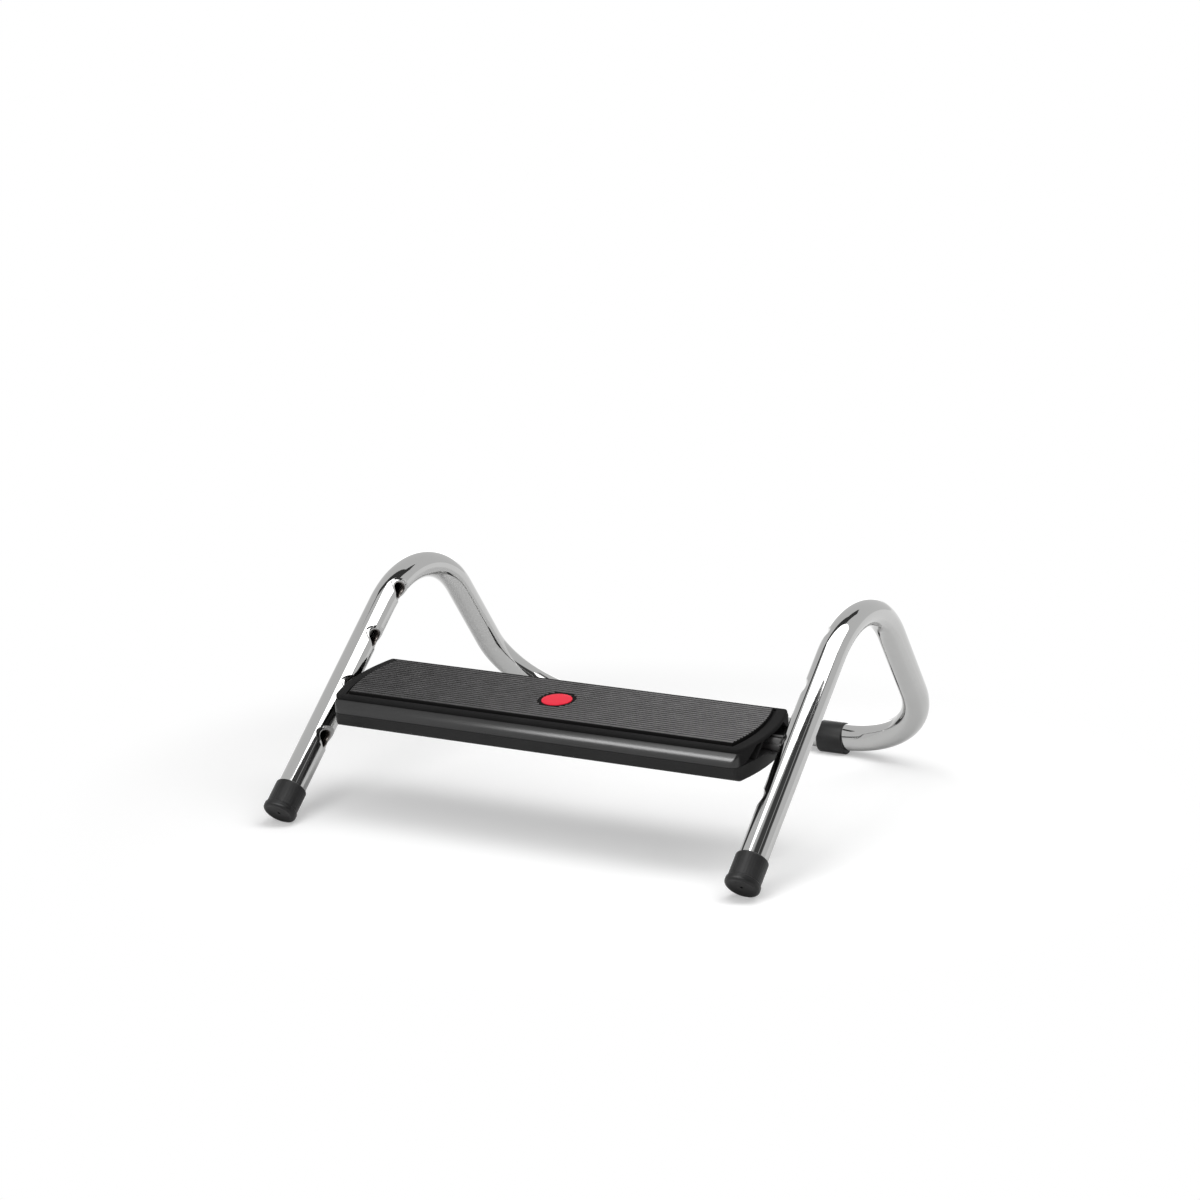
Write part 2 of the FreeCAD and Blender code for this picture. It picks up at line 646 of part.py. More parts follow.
def make_brace(body, lower, sign):
    """One slanted brace from the face of an end recess out to the bowed end."""
    sketch = new_sketch(body, "YZ_Plane", f"brace_{'front' if sign < 0 else 'back'}",
                        S["recess_length"] - S["press_gap"])
    foot = S["brace_foot"] * sign
    head = S["brace_head"] * sign
    wall = S["brace_wall"] / 2
    top = S["recess_top"] + S["press_gap"]
    outline(sketch, [(foot - wall, lower), (foot + wall, lower), (head + wall, top), (head - wall, top)])
    return extrude(body, "Pad", sketch, S["recess_run"])


def stub_hole(body):
    sketch = new_sketch(body, "YZ_Plane", "stub_hole")
    ring(sketch, S["axle_setback"], ZERO, stub_radius() + S["press_gap"])
    return extrude(body, "Pocket", sketch)


def stub_radius():
    return S["socket_radius"] - S["running_gap"]


def make_inner_ribs(body, level, top):
    """Ribs across the inside, in one row along the platform."""
    low, high = sorted((level, top), key=lambda size: size.value)
    sketch = new_sketch(body, "XY_Plane", "ribs", low)
    reach = S["lip_inner"] - S["shell_wall"] + S["press_gap"]
    for step in (-1.5, -0.5, 0.5, 1.5):
        centre = S["rib_pitch"] * step
        rectangle(sketch, centre - S["rib_wall"] / 2, -reach, centre + S["rib_wall"] / 2, reach)
    return extrude(body, "Pad", sketch, high - low)


def make_bottom_tray():
    body = new_body("bottom_tray")
    upper = S["seam_level"] - S["seam_gap"] / 2
    wall = S["shell_wall"]
    floor = S["tray_bottom"] + wall
    sketch = new_sketch(body, "YZ_Plane", "section")
    outline(sketch, mirrored_profile([
        (S["tray_sole"], S["tray_bottom"]), (S["tray_knee"], S["tray_knee_level"]),
        (S["tray_side"], upper)]))
    extrude(body, "Pad", sketch, S["end_length"] * 2, midplane=True)
    hollow = new_sketch(body, "YZ_Plane", "hollow")
    outline(hollow, mirrored_profile([
        (S["tray_sole"] - wall, floor), (S["tray_knee"] - wall, S["tray_knee_level"] + wall),
        (S["tray_side"] - wall, upper + S["overrun"])]))
    extrude(body, "Pocket", hollow, S["hollow_length"] * 2, midplane=True)
    bosses = new_sketch(body, "XY_Plane", "bosses", floor - S["press_gap"])
    for pair in screw_spots():
        ring(bosses, *spot(pair), S["boss_radius"])
    extrude(body, "Pad", bosses, S["seam_level"] - floor + S["press_gap"])
    make_inner_ribs(body, floor - S["press_gap"], -S["axle_radius"] - S["press_gap"])
    stub_hole(body)
    holes = new_sketch(body, "XY_Plane", "screw_holes")
    for pair in screw_spots():
        ring(holes, *spot(pair), S["screw_radius"] + S["press_gap"] * 2)
    extrude(body, "Pocket", holes)
    seats = new_sketch(body, "XY_Plane", "screw_seats", S["tray_bottom"])
    for pair in screw_spots():
        ring(seats, *spot(pair), S["screw_head"] + S["press_gap"] * 2)
    extrude(body, "Pocket", seats, S["screw_sink"] + S["screw_head_height"], backwards=True)
    saddle = new_sketch(body, "YZ_Plane", "saddle", S["recess_length"])
    ring(saddle, S["axle_setback"], ZERO, S["stub_collar"] + S["collar_gap"])
    saddle_run = S["recess_run"] + S["overrun"]
    cut = extrude(body, "Pocket", saddle, saddle_run, backwards=True)
    mirror_across(body, [cut], "YZ_Plane")
    trim_to_plan(body)
    body.Placement = platform_placement()


def make_tray_screws():
    body = new_body("tray_screws")
    seat = S["tray_bottom"] + S["screw_sink"]
    heads = new_sketch(body, "XY_Plane", "heads", seat)
    for pair in screw_spots():
        ring(heads, *spot(pair), S["screw_head"])
    extrude(body, "Pad", heads, S["screw_head_height"])
    body.AllowCompound = True
    shanks = new_sketch(body, "XY_Plane", "shanks", seat)
    for pair in screw_spots():
        ring(shanks, *spot(pair), S["screw_radius"])
    extrude(body, "Pad", shanks, S["screw_head_height"] + S["screw_length"])
    slots = new_sketch(body, "XY_Plane", "drives", seat)
    for x, y in screw_spots():
        wide = S["screw_slot"] * 2
        thin = S["screw_slot"] / 2
        outline(slots, cross_corners(x, y, wide, thin))
    extrude(body, "Pocket", slots, S["screw_slot"], backwards=True)
    body.Placement = platform_placement()


def cross_corners(x, y, wide, thin):
    steps = ((thin, wide), (-thin, wide), (-thin, thin), (-wide, thin), (-wide, -thin), (-thin, -thin),
             (-thin, -wide), (thin, -wide), (thin, -thin), (wide, -thin), (wide, thin), (thin, thin))
    return [(x + right, y + up) for right, up in steps]


def make_tread_mat():
    body = new_body("tread_mat")
    base = new_sketch(body, "XY_Plane", "base", S["bed_level"])
    far = S["mat_length"] + S["overrun"]
    rectangle(base, -far, -S["mat_depth"], far, S["mat_depth"])
    extrude(body, "Pad", base, S["mat_base"])
    top = S["bed_level"] + S["mat_base"]
    rib = new_sketch(body, "XY_Plane", "rib", top)
    first = -S["tread_span"] / 2
    rectangle(rib, -far, first - S["tread_width"] / 2, far, first + S["tread_width"] / 2)
    pad = extrude(body, "Pad", rib, S["tread_height"])
    repeat(body, pad, "LinearPattern", (origin_feature(body, "Y_Axis"), [""]), S["tread_count"],
           S["tread_span"])
    field = new_sketch(body, "XY_Plane", "badge_field", top)
    ring(field, ZERO, ZERO, S["badge_field"])
    extrude(body, "Pocket", field, S["tread_height"] + S["overrun"], backwards=True)
    seat = new_sketch(body, "XY_Plane", "badge_seat", top - S["badge_sink"])
    ring(seat, ZERO, ZERO, S["badge_radius"] + S["press_gap"])
    extrude(body, "Pocket", seat, S["badge_sink"] + S["overrun"], backwards=True)
    plan = new_sketch(body, "XY_Plane", "plan")
    rectangle(plan, -far - S["overrun"], -S["nose_depth"], far + S["overrun"], S["nose_depth"])
    outline(plan, bowed_strip(S["mat_length"], S["mat_depth"], S["mat_bow"]))
    extrude(body, "Pocket", plan)
    body.Placement = platform_placement()


def make_badge():
    body = new_body("badge_disc")
    sketch = new_sketch(body, "XZ_Plane", "profile")
    low = S["bed_level"] + S["mat_base"] - S["badge_sink"]
    high = low + S["badge_height"]
    edge = S["badge_edge"]
    outline(sketch, [(ZERO, low), (S["badge_radius"], low), (S["badge_radius"], high - edge),
                     (S["badge_radius"] - edge, high, edge), (ZERO, high)])
    revolve(body, sketch)
    body.Placement = platform_placement()


def past_tube_side(reach):
    """A place inside the tube, from the middle of the platform."""
    return S["side_spacing"] / 2 - S["tube_radius"] + reach


def make_axle():
    axle = DOC.addObject("Part::Cylinder", "axle_rod")
    axle.Label = "axle_rod"
    length = (past_tube_side(S["stub_reach"]) - S["axle_inset"]) * 2
    axle.Radius = val("axle_radius")
    axle.setExpression("Radius", S["axle_radius"].text)
    axle.Height = length.value
    axle.setExpression("Height", length.text)
    start = Vector(-length.value / 2, val("axle_setback"), 0)
    axle.Placement = platform_placement().multiply(Placement(start, Rotation(Vector(0, 1, 0), 90)))


def make_stub(side):
    """Turned stub: a flange inside the shells, a grooved collar outside, a pin in the socket."""
    body = new_body(("right" if side == 1 else "left") + "_pivot_stub")
    radius = stub_radius()
    flange = S["stub_flange"]
    flange_end = S["hollow_length"] - S["press_gap"]
    flange_start = flange_end - S["stub_flange_wall"]
    collar = S["stub_collar"]
    collar_start = S["recess_length"] + S["press_gap"]
    collar_end = past_tube_side(S["collar_reach"])
    tip = past_tube_side(S["stub_reach"])
    chamfer = S["stub_chamfer"]
    bore = S["axle_radius"] + S["press_gap"]
    bore_end = tip - S["axle_inset"] + S["press_gap"]
    profile = new_sketch(body, "XY_Plane", "profile")
    outline(profile, [(flange_start, bore), (flange_start, flange), (flange_end, flange),
                      (flange_end, radius), (collar_start, radius), (collar_start, collar),
                      (collar_end - chamfer, collar),
                      (collar_end, collar - chamfer), (collar_end, radius), (tip - chamfer, radius),
                      (tip, radius - chamfer), (tip, ZERO), (bore_end, ZERO), (bore_end, bore)])
    revolve(body, profile, "H_Axis")
    groove = new_sketch(body, "YZ_Plane", "groove", S["recess_length"])
    half = S["stub_groove_width"] / 2
    rectangle(groove, collar - S["stub_groove"], -half, collar + S["overrun"], half)
    cut = extrude(body, "Pocket", groove, collar_end - S["recess_length"] + S["overrun"], backwards=True)
    repeat(body, cut, "PolarPattern", (origin_feature(body, "X_Axis"), [""]), S["stub_grooves"], None)
    turned = Rotation(Vector(0, 0, 1), 0 if side == 1 else 180)
    rolled = Rotation(Vector(1, 0, 0), val("stub_turn") * side)
    body.Placement = platform_placement().multiply(
        Placement(Vector(0, val("axle_setback"), 0), turned.multiply(rolled)))


def check_and_write():
    DOC.recompute()
    for item in DOC.Objects:
        if "Invalid" in item.State or "Error" in item.State:
            raise RuntimeError(f"{item.Label} failed: {item.State}")
    os.makedirs("parts", exist_ok=True)
    for label in NODES:
        item = DOC.getObjectsByLabel(label)[0]
        shape = item.Shape
        if shape.isNull() or not shape.isValid():
            raise RuntimeError(f"{label} has no valid shape")
        if not shape.Solids:
            raise RuntimeError(f"{label} has no solid")
        shape.exportStep(os.path.join("parts", f"{label}.step"))
        box = shape.BoundBox
        print(f"{label}: {len(shape.Solids)} solid(s), {shape.Volume / 1000:.1f} cm3, "
              f"x {box.XMin:.1f}..{box.XMax:.1f} y {box.YMin:.1f}..{box.YMax:.1f} "
              f"z {box.ZMin:.1f}..{box.ZMax:.1f}")


NODES = ("frame_tube", "left_front_cap", "right_front_cap", "left_rear_sleeve", "right_rear_sleeve",
         "top_shell", "bottom_tray", "tray_screws", "tread_mat", "badge_disc", "axle_rod",
         "left_pivot_stub", "right_pivot_stub")

make_frame_tube()
for hand in (-1, 1):
    make_front_cap(hand)
    make_stub(hand)
make_rear_sleeves()
make_top_shell()
make_bottom_tray()
make_tray_screws()
make_tread_mat()
make_badge()
make_axle()
check_and_write()
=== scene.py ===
"""Tubular footrest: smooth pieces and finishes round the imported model.

Metres, +Z up, +X to the sitter's right, -Y towards the sitter. The platform's pieces are modelled flat
about the tilt axis (X along, Y to the back) and then laid at the resting angle.
"""
import json
import math

import bmesh
import bpy
from mathutils import Matrix, Vector


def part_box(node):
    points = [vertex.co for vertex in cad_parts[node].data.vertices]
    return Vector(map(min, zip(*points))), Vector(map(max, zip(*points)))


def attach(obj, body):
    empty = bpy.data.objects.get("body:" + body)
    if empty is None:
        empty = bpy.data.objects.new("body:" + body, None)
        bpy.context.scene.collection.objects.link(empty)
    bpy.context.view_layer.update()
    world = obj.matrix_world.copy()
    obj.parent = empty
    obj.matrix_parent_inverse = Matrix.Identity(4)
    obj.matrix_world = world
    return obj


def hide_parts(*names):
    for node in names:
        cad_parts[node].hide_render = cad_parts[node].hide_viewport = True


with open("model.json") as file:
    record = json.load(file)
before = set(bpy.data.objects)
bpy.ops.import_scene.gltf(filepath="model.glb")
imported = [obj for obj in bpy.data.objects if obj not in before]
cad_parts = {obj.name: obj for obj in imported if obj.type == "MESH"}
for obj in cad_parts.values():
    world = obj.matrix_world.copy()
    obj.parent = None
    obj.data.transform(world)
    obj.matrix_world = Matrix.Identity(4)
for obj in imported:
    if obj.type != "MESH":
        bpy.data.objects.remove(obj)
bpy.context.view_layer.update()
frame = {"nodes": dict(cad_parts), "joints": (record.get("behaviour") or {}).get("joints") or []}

bl_info = {
    "name": "Tubular Footrest",
    "version": (1, 0, 0),
    "blender": (4, 5, 0),
    "location": "3D View > Sidebar > Footrest",
    "description": "Models and finishes the pieces of a tubular footrest round its packed frame",
    "category": "Object",
}

MM = 0.001

# A cutter's run past its piece, the room between pieces that touch, and what is too small to count
OVERRUN = 5 * MM
FIT = 0.05 * MM
HAIR = 0.01 * MM
WELD = 0.001 * MM

# Corners sharper than these stay sharp in the shading, the second on the tube
SHARP = math.radians(32)
TUBE_SHARP = math.radians(14)

# Steps round a full turn, and along the bowed end of a strip
DISC_STEPS = 128
ROUND_STEPS = 96
SOCKET_STEPS = 72
BORE_STEPS = 64
SEAT_STEPS = 40
BOW_STEPS = 48


def length(millimetres, name, description):
    """A size that a user can change, given in millimetres."""
    return bpy.props.FloatProperty(name=name, description=description, default=millimetres * MM,
                                   unit="LENGTH", precision=5)


def angle(degrees, name, description):
    """An angle that a user can change, given in degrees."""
    return bpy.props.FloatProperty(name=name, description=description, default=math.radians(degrees),
                                   unit="ROTATION")


def count(number, name, description):
    """How many there are of something."""
    return bpy.props.IntProperty(name=name, description=description, default=number, min=1)


def colour(red, green, blue, name, description):
    """A colour that a user can change, in linear values."""
    return bpy.props.FloatVectorProperty(name=name, description=description, default=(red, green, blue),
                                         size=3, subtype="COLOR", min=0, max=1)


class FootrestFrameSizes(bpy.types.PropertyGroup):
    """Sizes of the bent tube and its sockets."""
    tube_radius: length(12.5, "Tube radius", "Outside radius of the frame tube")
    tube_wall: length(1.5, "Tube wall", "Wall of the frame tube")
    side_spacing: length(446, "Side spacing", "Centre to centre of the two side frames")
    front_angle: angle(40.7, "Front angle", "Front leg above the floor")
    rear_angle: angle(49.1, "Rear angle", "Rear leg above the floor")
    apex_height: length(226.7, "Apex height", "Height where the two leg centre lines would meet")
    apex_bend: length(100, "Apex bend", "Centre line radius of the top bends")
    rear_bend: length(95.5, "Rear bend", "Centre line radius of the bends into the crossbar")
    crossbar_height: length(16, "Crossbar height", "Crossbar centre line above the floor")
    socket_first: length(79.7, "First socket", "Apex to first socket, along the leg")
    socket_pitch: length(56.4, "Socket pitch", "Socket to socket, along the leg")
    socket_count: count(4, "Sockets", "Sockets in each front leg")
    socket_radius: length(6.5, "Socket radius", "Round hole of a socket")
    mouth: length(11, "Mouth", "Reach of a socket's drawn-in mouth along the leg")
    mouth_width: length(11.1, "Mouth width", "Reach of that mouth across the leg")
    mouth_foot: length(0.5, "Mouth foot", "Point at the foot of the mouth, beyond its round")
    lip: length(8, "Lip", "Reach of the rolled lip along the leg")
    lip_width: length(10.4, "Lip width", "Reach of that lip across the leg")
    lip_foot: length(2.2, "Lip foot", "Point at the foot of the lip")
    lip_depth: length(1.1, "Lip depth", "Depth of the lip below the tube")
    throat_depth: length(5.2, "Throat depth", "Depth where the plain hole starts")
    throat_foot: length(2.9, "Throat foot", "Point at the foot of the hole")
    cup_wall: length(1.4, "Cup wall", "Sheet round a drawn-in socket")
    cup_setback: length(0.6, "Cup setback", "Edge of that sheet inside the mouth, along the leg")
    cup_side_setback: length(0.2, "Cup side setback", "Edge of that sheet inside the mouth, across the leg")
    plate_end: length(0.9, "Plate end", "Depth in a socket where the plating starts to give out")
    plate_fade: length(1.4, "Plate fade", "Further depth until the steel is bare")


class FootrestFeetSizes(bpy.types.PropertyGroup):
    """Sizes of the rubber caps and sleeves."""
    cap_wall: length(1.7, "Cap wall", "Wall of a front cap")
    cap_length: length(28, "Cap length", "Length of a front cap")
    cap_base: length(4.5, "Cap base", "Closed end of a front cap")
    cap_bead: length(0.95, "Cap bead", "Bead of a front cap beyond its wall")
    cap_bead_height: length(6, "Bead height", "Height of that bead")
    cap_edge: length(2.4, "Cap edge", "Rounding of the closed end")
    cap_lip: length(1.2, "Cap lip", "Rounding of the open end")
    cap_dish: length(0.6, "Cap dish", "Hollow of the closed end")
    cap_rim: length(1.4, "Cap rim", "Flat ring round that hollow")
    cap_slope: length(1.2, "Cap slope", "Slope between ring and hollow")
    cap_dimple: length(1.3, "Cap dimple", "Radius of the mould mark in the middle")
    cap_dimple_depth: length(1.5, "Dimple depth", "Depth of that mark")
    cap_flat: length(0.4, "Cap flat", "Flat worn into a cap where it stands")
    cap_flutes: count(36, "Flutes", "Faint flutes round a cap")
    flute_depth: length(0.16, "Flute depth", "Depth of those flutes")
    flute_margin: length(1.2, "Flute margin", "Plain band above and below the flutes")
    flute_run: length(1.5, "Flute run", "Length over which a flute runs out")
    sleeve_start: length(107, "Sleeve start", "Middle of the crossbar to the inner end of a sleeve")
    sleeve_length: length(27.5, "Sleeve length", "Length of a sleeve along the tube")
    sleeve_wall: length(1.1, "Sleeve wall", "Wall of a sleeve at its top")
    sleeve_edge: length(1.3, "Sleeve edge", "Rounding of a sleeve's two ends")
    sleeve_flat: length(0.4, "Sleeve flat", "Flat worn into a sleeve where it stands")
    sleeve_slant: length(3.6, "Sleeve slant", "Top of a sleeve's outer end, back from its foot")


class FootrestPlatformSizes(bpy.types.PropertyGroup):
    """Sizes of the platform's two shells and its stubs."""
    nose_depth: length(55, "Nose depth", "Half depth of the platform at its noses")
    end_length: length(204, "End length", "Half length of the platform at mid depth")
    end_bow: length(155, "End bow", "Plan radius of the bowed ends")
    end_corner: length(4, "End corner", "Plan radius of the corners")
    seam_level: length(-1.25, "Seam level", "Joint between shell and tray, from the tilt axis")
    seam_gap: length(0.5, "Seam gap", "Visible gap along that joint")
    nose_bend: length(13, "Nose bend", "Profile radius of a nose")
    crease_depth: length(50.2, "Crease depth", "Half depth where the nose meets the lip")
    crease_level: length(10.2, "Crease level", "Level where the nose meets the lip")
    crease_cut: length(1, "Crease cut", "Depth and height of the crease")
    gloss_start: length(0.6, "Gloss start", "Start of the noses' gloss, inside the crease")
    gloss_fade: length(1.6, "Gloss fade", "Further depth until the gloss is full")
    nose_rim: length(2.2, "Nose rim", "Rounding of the ends of the noses")
    lip_rim: length(1.6, "Lip rim", "Rounding of the ends of the lip")
    tray_rim: length(1.8, "Tray rim", "Rounding of the ends of the tray")
    lip_level: length(13.8, "Lip level", "Top of the lip round the tread")
    lip_inner: length(44.2, "Lip inner", "Half depth of the tread bed")
    lip_round: length(2.3, "Lip rounding", "Rounding of the lip's outer edge")
    bed_level: length(12.2, "Bed level", "Bed under the tread")
    shell_wall: length(2.5, "Shell wall", "Wall of shell and tray")
    hollow_length: length(190, "Hollow length", "Half length of the hollow inside")
    recess_length: length(193, "Recess length", "Platform middle to the face of an end recess")
    recess_top: length(10.6, "Recess top", "Ceiling of an end recess")
    recess_shoulder: length(27, "Recess shoulder", "Half depth of an end recess at its ceiling")
    recess_depth: length(43.6, "Recess depth", "Half depth of an end recess at the seam")
    brace_wall: length(3, "Brace wall", "Thickness of the slanted brace in each half of a recess")
    brace_head: length(18, "Brace head", "Platform middle to the top of a brace")
    brace_foot: length(29, "Brace foot", "Platform middle to the foot of a brace")
    tray_bottom: length(-14.6, "Tray bottom", "Underside of the tray")
    tray_side: length(54.7, "Tray side", "Half depth of the tray at the seam")
    tray_knee: length(52.6, "Tray knee", "Half depth of the tray at its knee")
    tray_knee_level: length(-11.5, "Knee level", "Level of that knee")
    tray_knee_round: length(1.9, "Knee rounding", "Rounding of the tray's long edges below")
    tray_sole: length(49.6, "Tray sole", "Half depth of the flat underside")
    axle_setback: length(2.5, "Axle setback", "Tilt axis behind the middle of the platform")
    stub_pin: length(6.42, "Stub pin", "Radius of the pin that turns in a socket")
    stub_collar: length(8.3, "Stub collar", "Radius of the grooved collar")
    stub_play: length(0.1, "Stub play", "Room round a collar in the tray")
    stub_edge: length(1, "Stub edge", "Rounding of collar and pin")
    stub_bore: length(4.05, "Stub bore", "Radius of the bore that takes the axle")
    stub_bore_end: length(8, "Bore end", "Tip of the pin to the end of that bore")
    stub_flange: length(8.6, "Stub flange", "Radius of the flange inside the shells")
    stub_flange_wall: length(2.4, "Flange wall", "Thickness of that flange")
    collar_reach: length(2, "Collar reach", "Collar beyond the inner side of the tube")
    stub_reach: length(7, "Stub reach", "Pin beyond the inner side of the tube")
    stub_groove: length(1.1, "Groove depth", "Depth of the grooves along a collar")
    stub_groove_width: length(1.8, "Groove width", "Width of those grooves")
    stub_grooves: count(8, "Grooves", "Grooves in a collar")
    stub_turn: angle(18, "Groove turn", "First groove from the depth direction")
    screw_seat: length(3.5, "Screw seat", "Radius of the seats of the tray screws")
    screw_seat_depth: length(3.2, "Seat depth", "Depth of those seats")
    boss_pitch: length(155, "Boss pitch", "Screw to screw along the platform")
    boss_depth: length(34, "Boss depth", "Screws to the long centre line")


class FootrestTreadSizes(bpy.types.PropertyGroup):
    """Sizes of the mat and the disc."""
    mat_depth: length(41.6, "Mat depth", "Half depth of the tread mat")
    mat_length: length(192, "Mat length", "Half length of the mat at mid depth")
    mat_bow: length(143, "Mat bow", "Plan radius of the mat ends")
    mat_base: length(3, "Mat base", "Thickness of the mat under its ribs")
    mat_edge: length(0.5, "Mat edge", "Rounding of the mat's edge")
    rib_edge: length(0.45, "Rib edge", "Rounding of a rib's crest")
    rib_end: length(0.5, "Rib end", "End of a rib to the edge of the mat")
    rib_sink: length(0.3, "Rib sink", "Foot of a rib inside the mat")
    rib_height: length(0.8, "Rib height", "Height of the tread ribs")
    rib_width: length(2.3, "Rib width", "Width of a tread rib")
    rib_pitch: length(4.1, "Rib pitch", "Tread rib to tread rib")
    rib_count: count(20, "Ribs", "Number of tread ribs")
    disc_radius: length(13.5, "Disc radius", "Radius of the disc in the middle")
    disc_height: length(1.6, "Disc height", "Thickness of the disc")
    disc_sink: length(0.9, "Disc sink", "Disc seat below the top of the mat base")
    disc_edge: length(0.5, "Disc edge", "Rounding of the disc")
    disc_crown: length(0.08, "Disc crown", "Rise of the disc towards its middle")
    disc_field: length(16.6, "Disc field", "Radius of the smooth field round the disc")


class FootrestFinishes(bpy.types.PropertyGroup):
    """Colours of the finishes."""
    chrome: colour(0.53, 0.53, 0.525, "Chrome", "Bright chrome plate")
    bare: colour(0.15, 0.135, 0.125, "Bare steel", "Unplated steel inside the sockets")
    rubber: colour(0.010, 0.010, 0.0103, "Rubber", "Caps and sleeves")
    shell: colour(0.013, 0.0129, 0.013, "Shell", "Moulded shells of the platform")
    mat: colour(0.098, 0.096, 0.097, "Mat", "Ribbed tread mat")
    disc: colour(0.72, 0.0095, 0.036, "Disc", "Disc in the middle of the mat")
    stub: colour(0.034, 0.033, 0.033, "Stub", "Pivot stubs")
    zinc: colour(0.62, 0.62, 0.60, "Zinc", "Axle and screws")
    floor: colour(0.76, 0.76, 0.76, "Floor", "Studio floor")


# Materials

class Wire:
    """A socket in a node tree; arithmetic on it adds Math nodes."""

    def __init__(self, sheet, socket):
        self.sheet = sheet
        self.socket = socket

    def maths(self, operation, *values):
        """Add a Math node over this socket."""
        return self.sheet.add("Math", {"operation": operation}, dict(enumerate(values)))

    def __add__(self, other):
        return self.maths("ADD", self, other)

    def __sub__(self, other):
        return self.maths("SUBTRACT", self, other)

    def __rsub__(self, other):
        return self.maths("SUBTRACT", other, self)

    def __mul__(self, other):
        return self.maths("MULTIPLY", self, other)

    __radd__ = __add__
    __rmul__ = __mul__


class Sheet:
    """The node tree of a material or world, filled one node at a time."""

    def __init__(self, owner):
        owner.use_nodes = True
        self.tree = owner.node_tree
        self.tree.nodes.clear()

    def add(self, kind, settings=None, inputs=None, output=0):
        """Add a node: its settings, the values or links of its sockets, and the output wanted."""
        node = self.tree.nodes.new("ShaderNode" + kind)
        for key, value in (settings or {}).items():
            if key == "stops":
                self.set_stops(node.color_ramp, value)
            else:
                setattr(node, key, value)
        for key, value in (inputs or {}).items():
            if isinstance(value, Wire):
                self.tree.links.new(value.socket, node.inputs[key])
            else:
                node.inputs[key].default_value = value
        return Wire(self, node.outputs[output]) if node.outputs else node

    @staticmethod
    def set_stops(ramp, stops):
        """Give a colour ramp its grey stops."""
        while len(ramp.elements) > 1:
            ramp.elements.remove(ramp.elements[-1])
        for index, (position, level) in enumerate(stops):
            stop = ramp.elements[0] if index == 0 else ramp.elements.new(position)
            stop.position = position
            stop.color = (level, level, level, 1)

    def ramp(self, value, *stops):
        """Grey levels over a value, as (position, level) stops."""
        return self.add("ValToRGB", {"stops": stops}, {"Fac": value})

    def noise(self, place, scale, detail=2.0, roughness=0.5):
        """Cloudy noise, scale clouds to the metre."""
        return self.add("TexNoise", {}, {"Vector": place, "Scale": scale, "Detail": detail,
                                         "Roughness": roughness})

    def tint(self, factor, low, high):
        """Colour from low to high along a factor; each of them is a colour or a socket."""
        first, second, colour_output = 6, 7, 2
        low, high = (end if isinstance(end, Wire) else (*end, 1) for end in (low, high))
        return self.add("Mix", {"data_type": "RGBA"}, {"Factor": factor, first: low, second: high},
                        colour_output)

    def layer(self, name):
        """Values that the mesh carries under a name."""
        return self.add("Attribute", {"attribute_name": name}, {}, "Fac")

    def ray(self, kind):
        """Whether a ray is of a kind, such as Camera or Glossy."""
        return self.add("LightPath", {}, {}, f"Is {kind} Ray")

    def rise(self, value, start, end, course="SMOOTHSTEP"):
        """From 0 at the start to 1 at the end."""
        return self.add("MapRange", {"interpolation_type": course},
                        {"Value": value, "From Min": start, "From Max": end})

    def bump(self, height, strength, distance, under=None):
        """Relief of a height, over another relief if one is given."""
        inputs = {"Height": height, "Strength": strength, "Distance": distance}
        if under is not None:
            inputs["Normal"] = under
        return self.add("Bump", {}, inputs)

    def finish(self, **sockets):
        """Close the material with a Principled shader."""
        inputs = {name.replace("_", " "): value for name, value in sockets.items()}
        shader = self.add("BsdfPrincipled", {}, inputs)
        self.add("OutputMaterial", {}, {"Surface": shader})


def new_material(name):
    """An empty material, its sheet, and the place on the object."""
    material = bpy.data.materials.new(name)
    sheet = Sheet(material)
    place = sheet.add("TexCoord", {}, {}, "Object")
    return material, sheet, place


def darker(base, share):
    """The colour times a share, which may also be above one."""
    return tuple(channel * share for channel in base)


def lighter(base, share):
    """The colour mixed with a share of white."""
    return tuple(channel + (1 - channel) * share for channel in base)


def chrome_plate(base, bare):
    """Bright chrome: near mirror with a breath of haze, giving way to bare steel inside the sockets."""
    material, sheet, place = new_material("chrome_plate")
    worn = sheet.layer("bare")
    haze = sheet.noise(place, 38, 4, 0.6)
    waves = sheet.noise(place, 60, 1)
    grain = sheet.noise(place, 700, 2)
    polish = sheet.bump(waves, 0.06, 0.0006)
    plate = sheet.tint(haze, darker(base, 0.95), base)
    sheet.finish(Base_Color=sheet.tint(worn, plate, bare), Metallic=1.0,
                 Roughness=haze * 0.05 + grain * 0.02 + worn * 0.3 + 0.015, Normal=polish)
    return material


def moulded_rubber(base):
    """Matt rubber with a fine grain and a little grey bloom."""
    material, sheet, place = new_material("moulded_rubber")
    bloom = sheet.ramp(sheet.noise(place, 55, 5, 0.65), (0.35, 0.0), (0.8, 1.0))
    grain = sheet.noise(place, 1900, 3, 0.6)
    sheet.finish(Base_Color=sheet.tint(bloom, base, lighter(base, 0.008)), IOR=1.35,
                 Roughness=bloom * 0.1 + 0.36, Normal=sheet.bump(grain, 0.25, 0.0002))
    return material


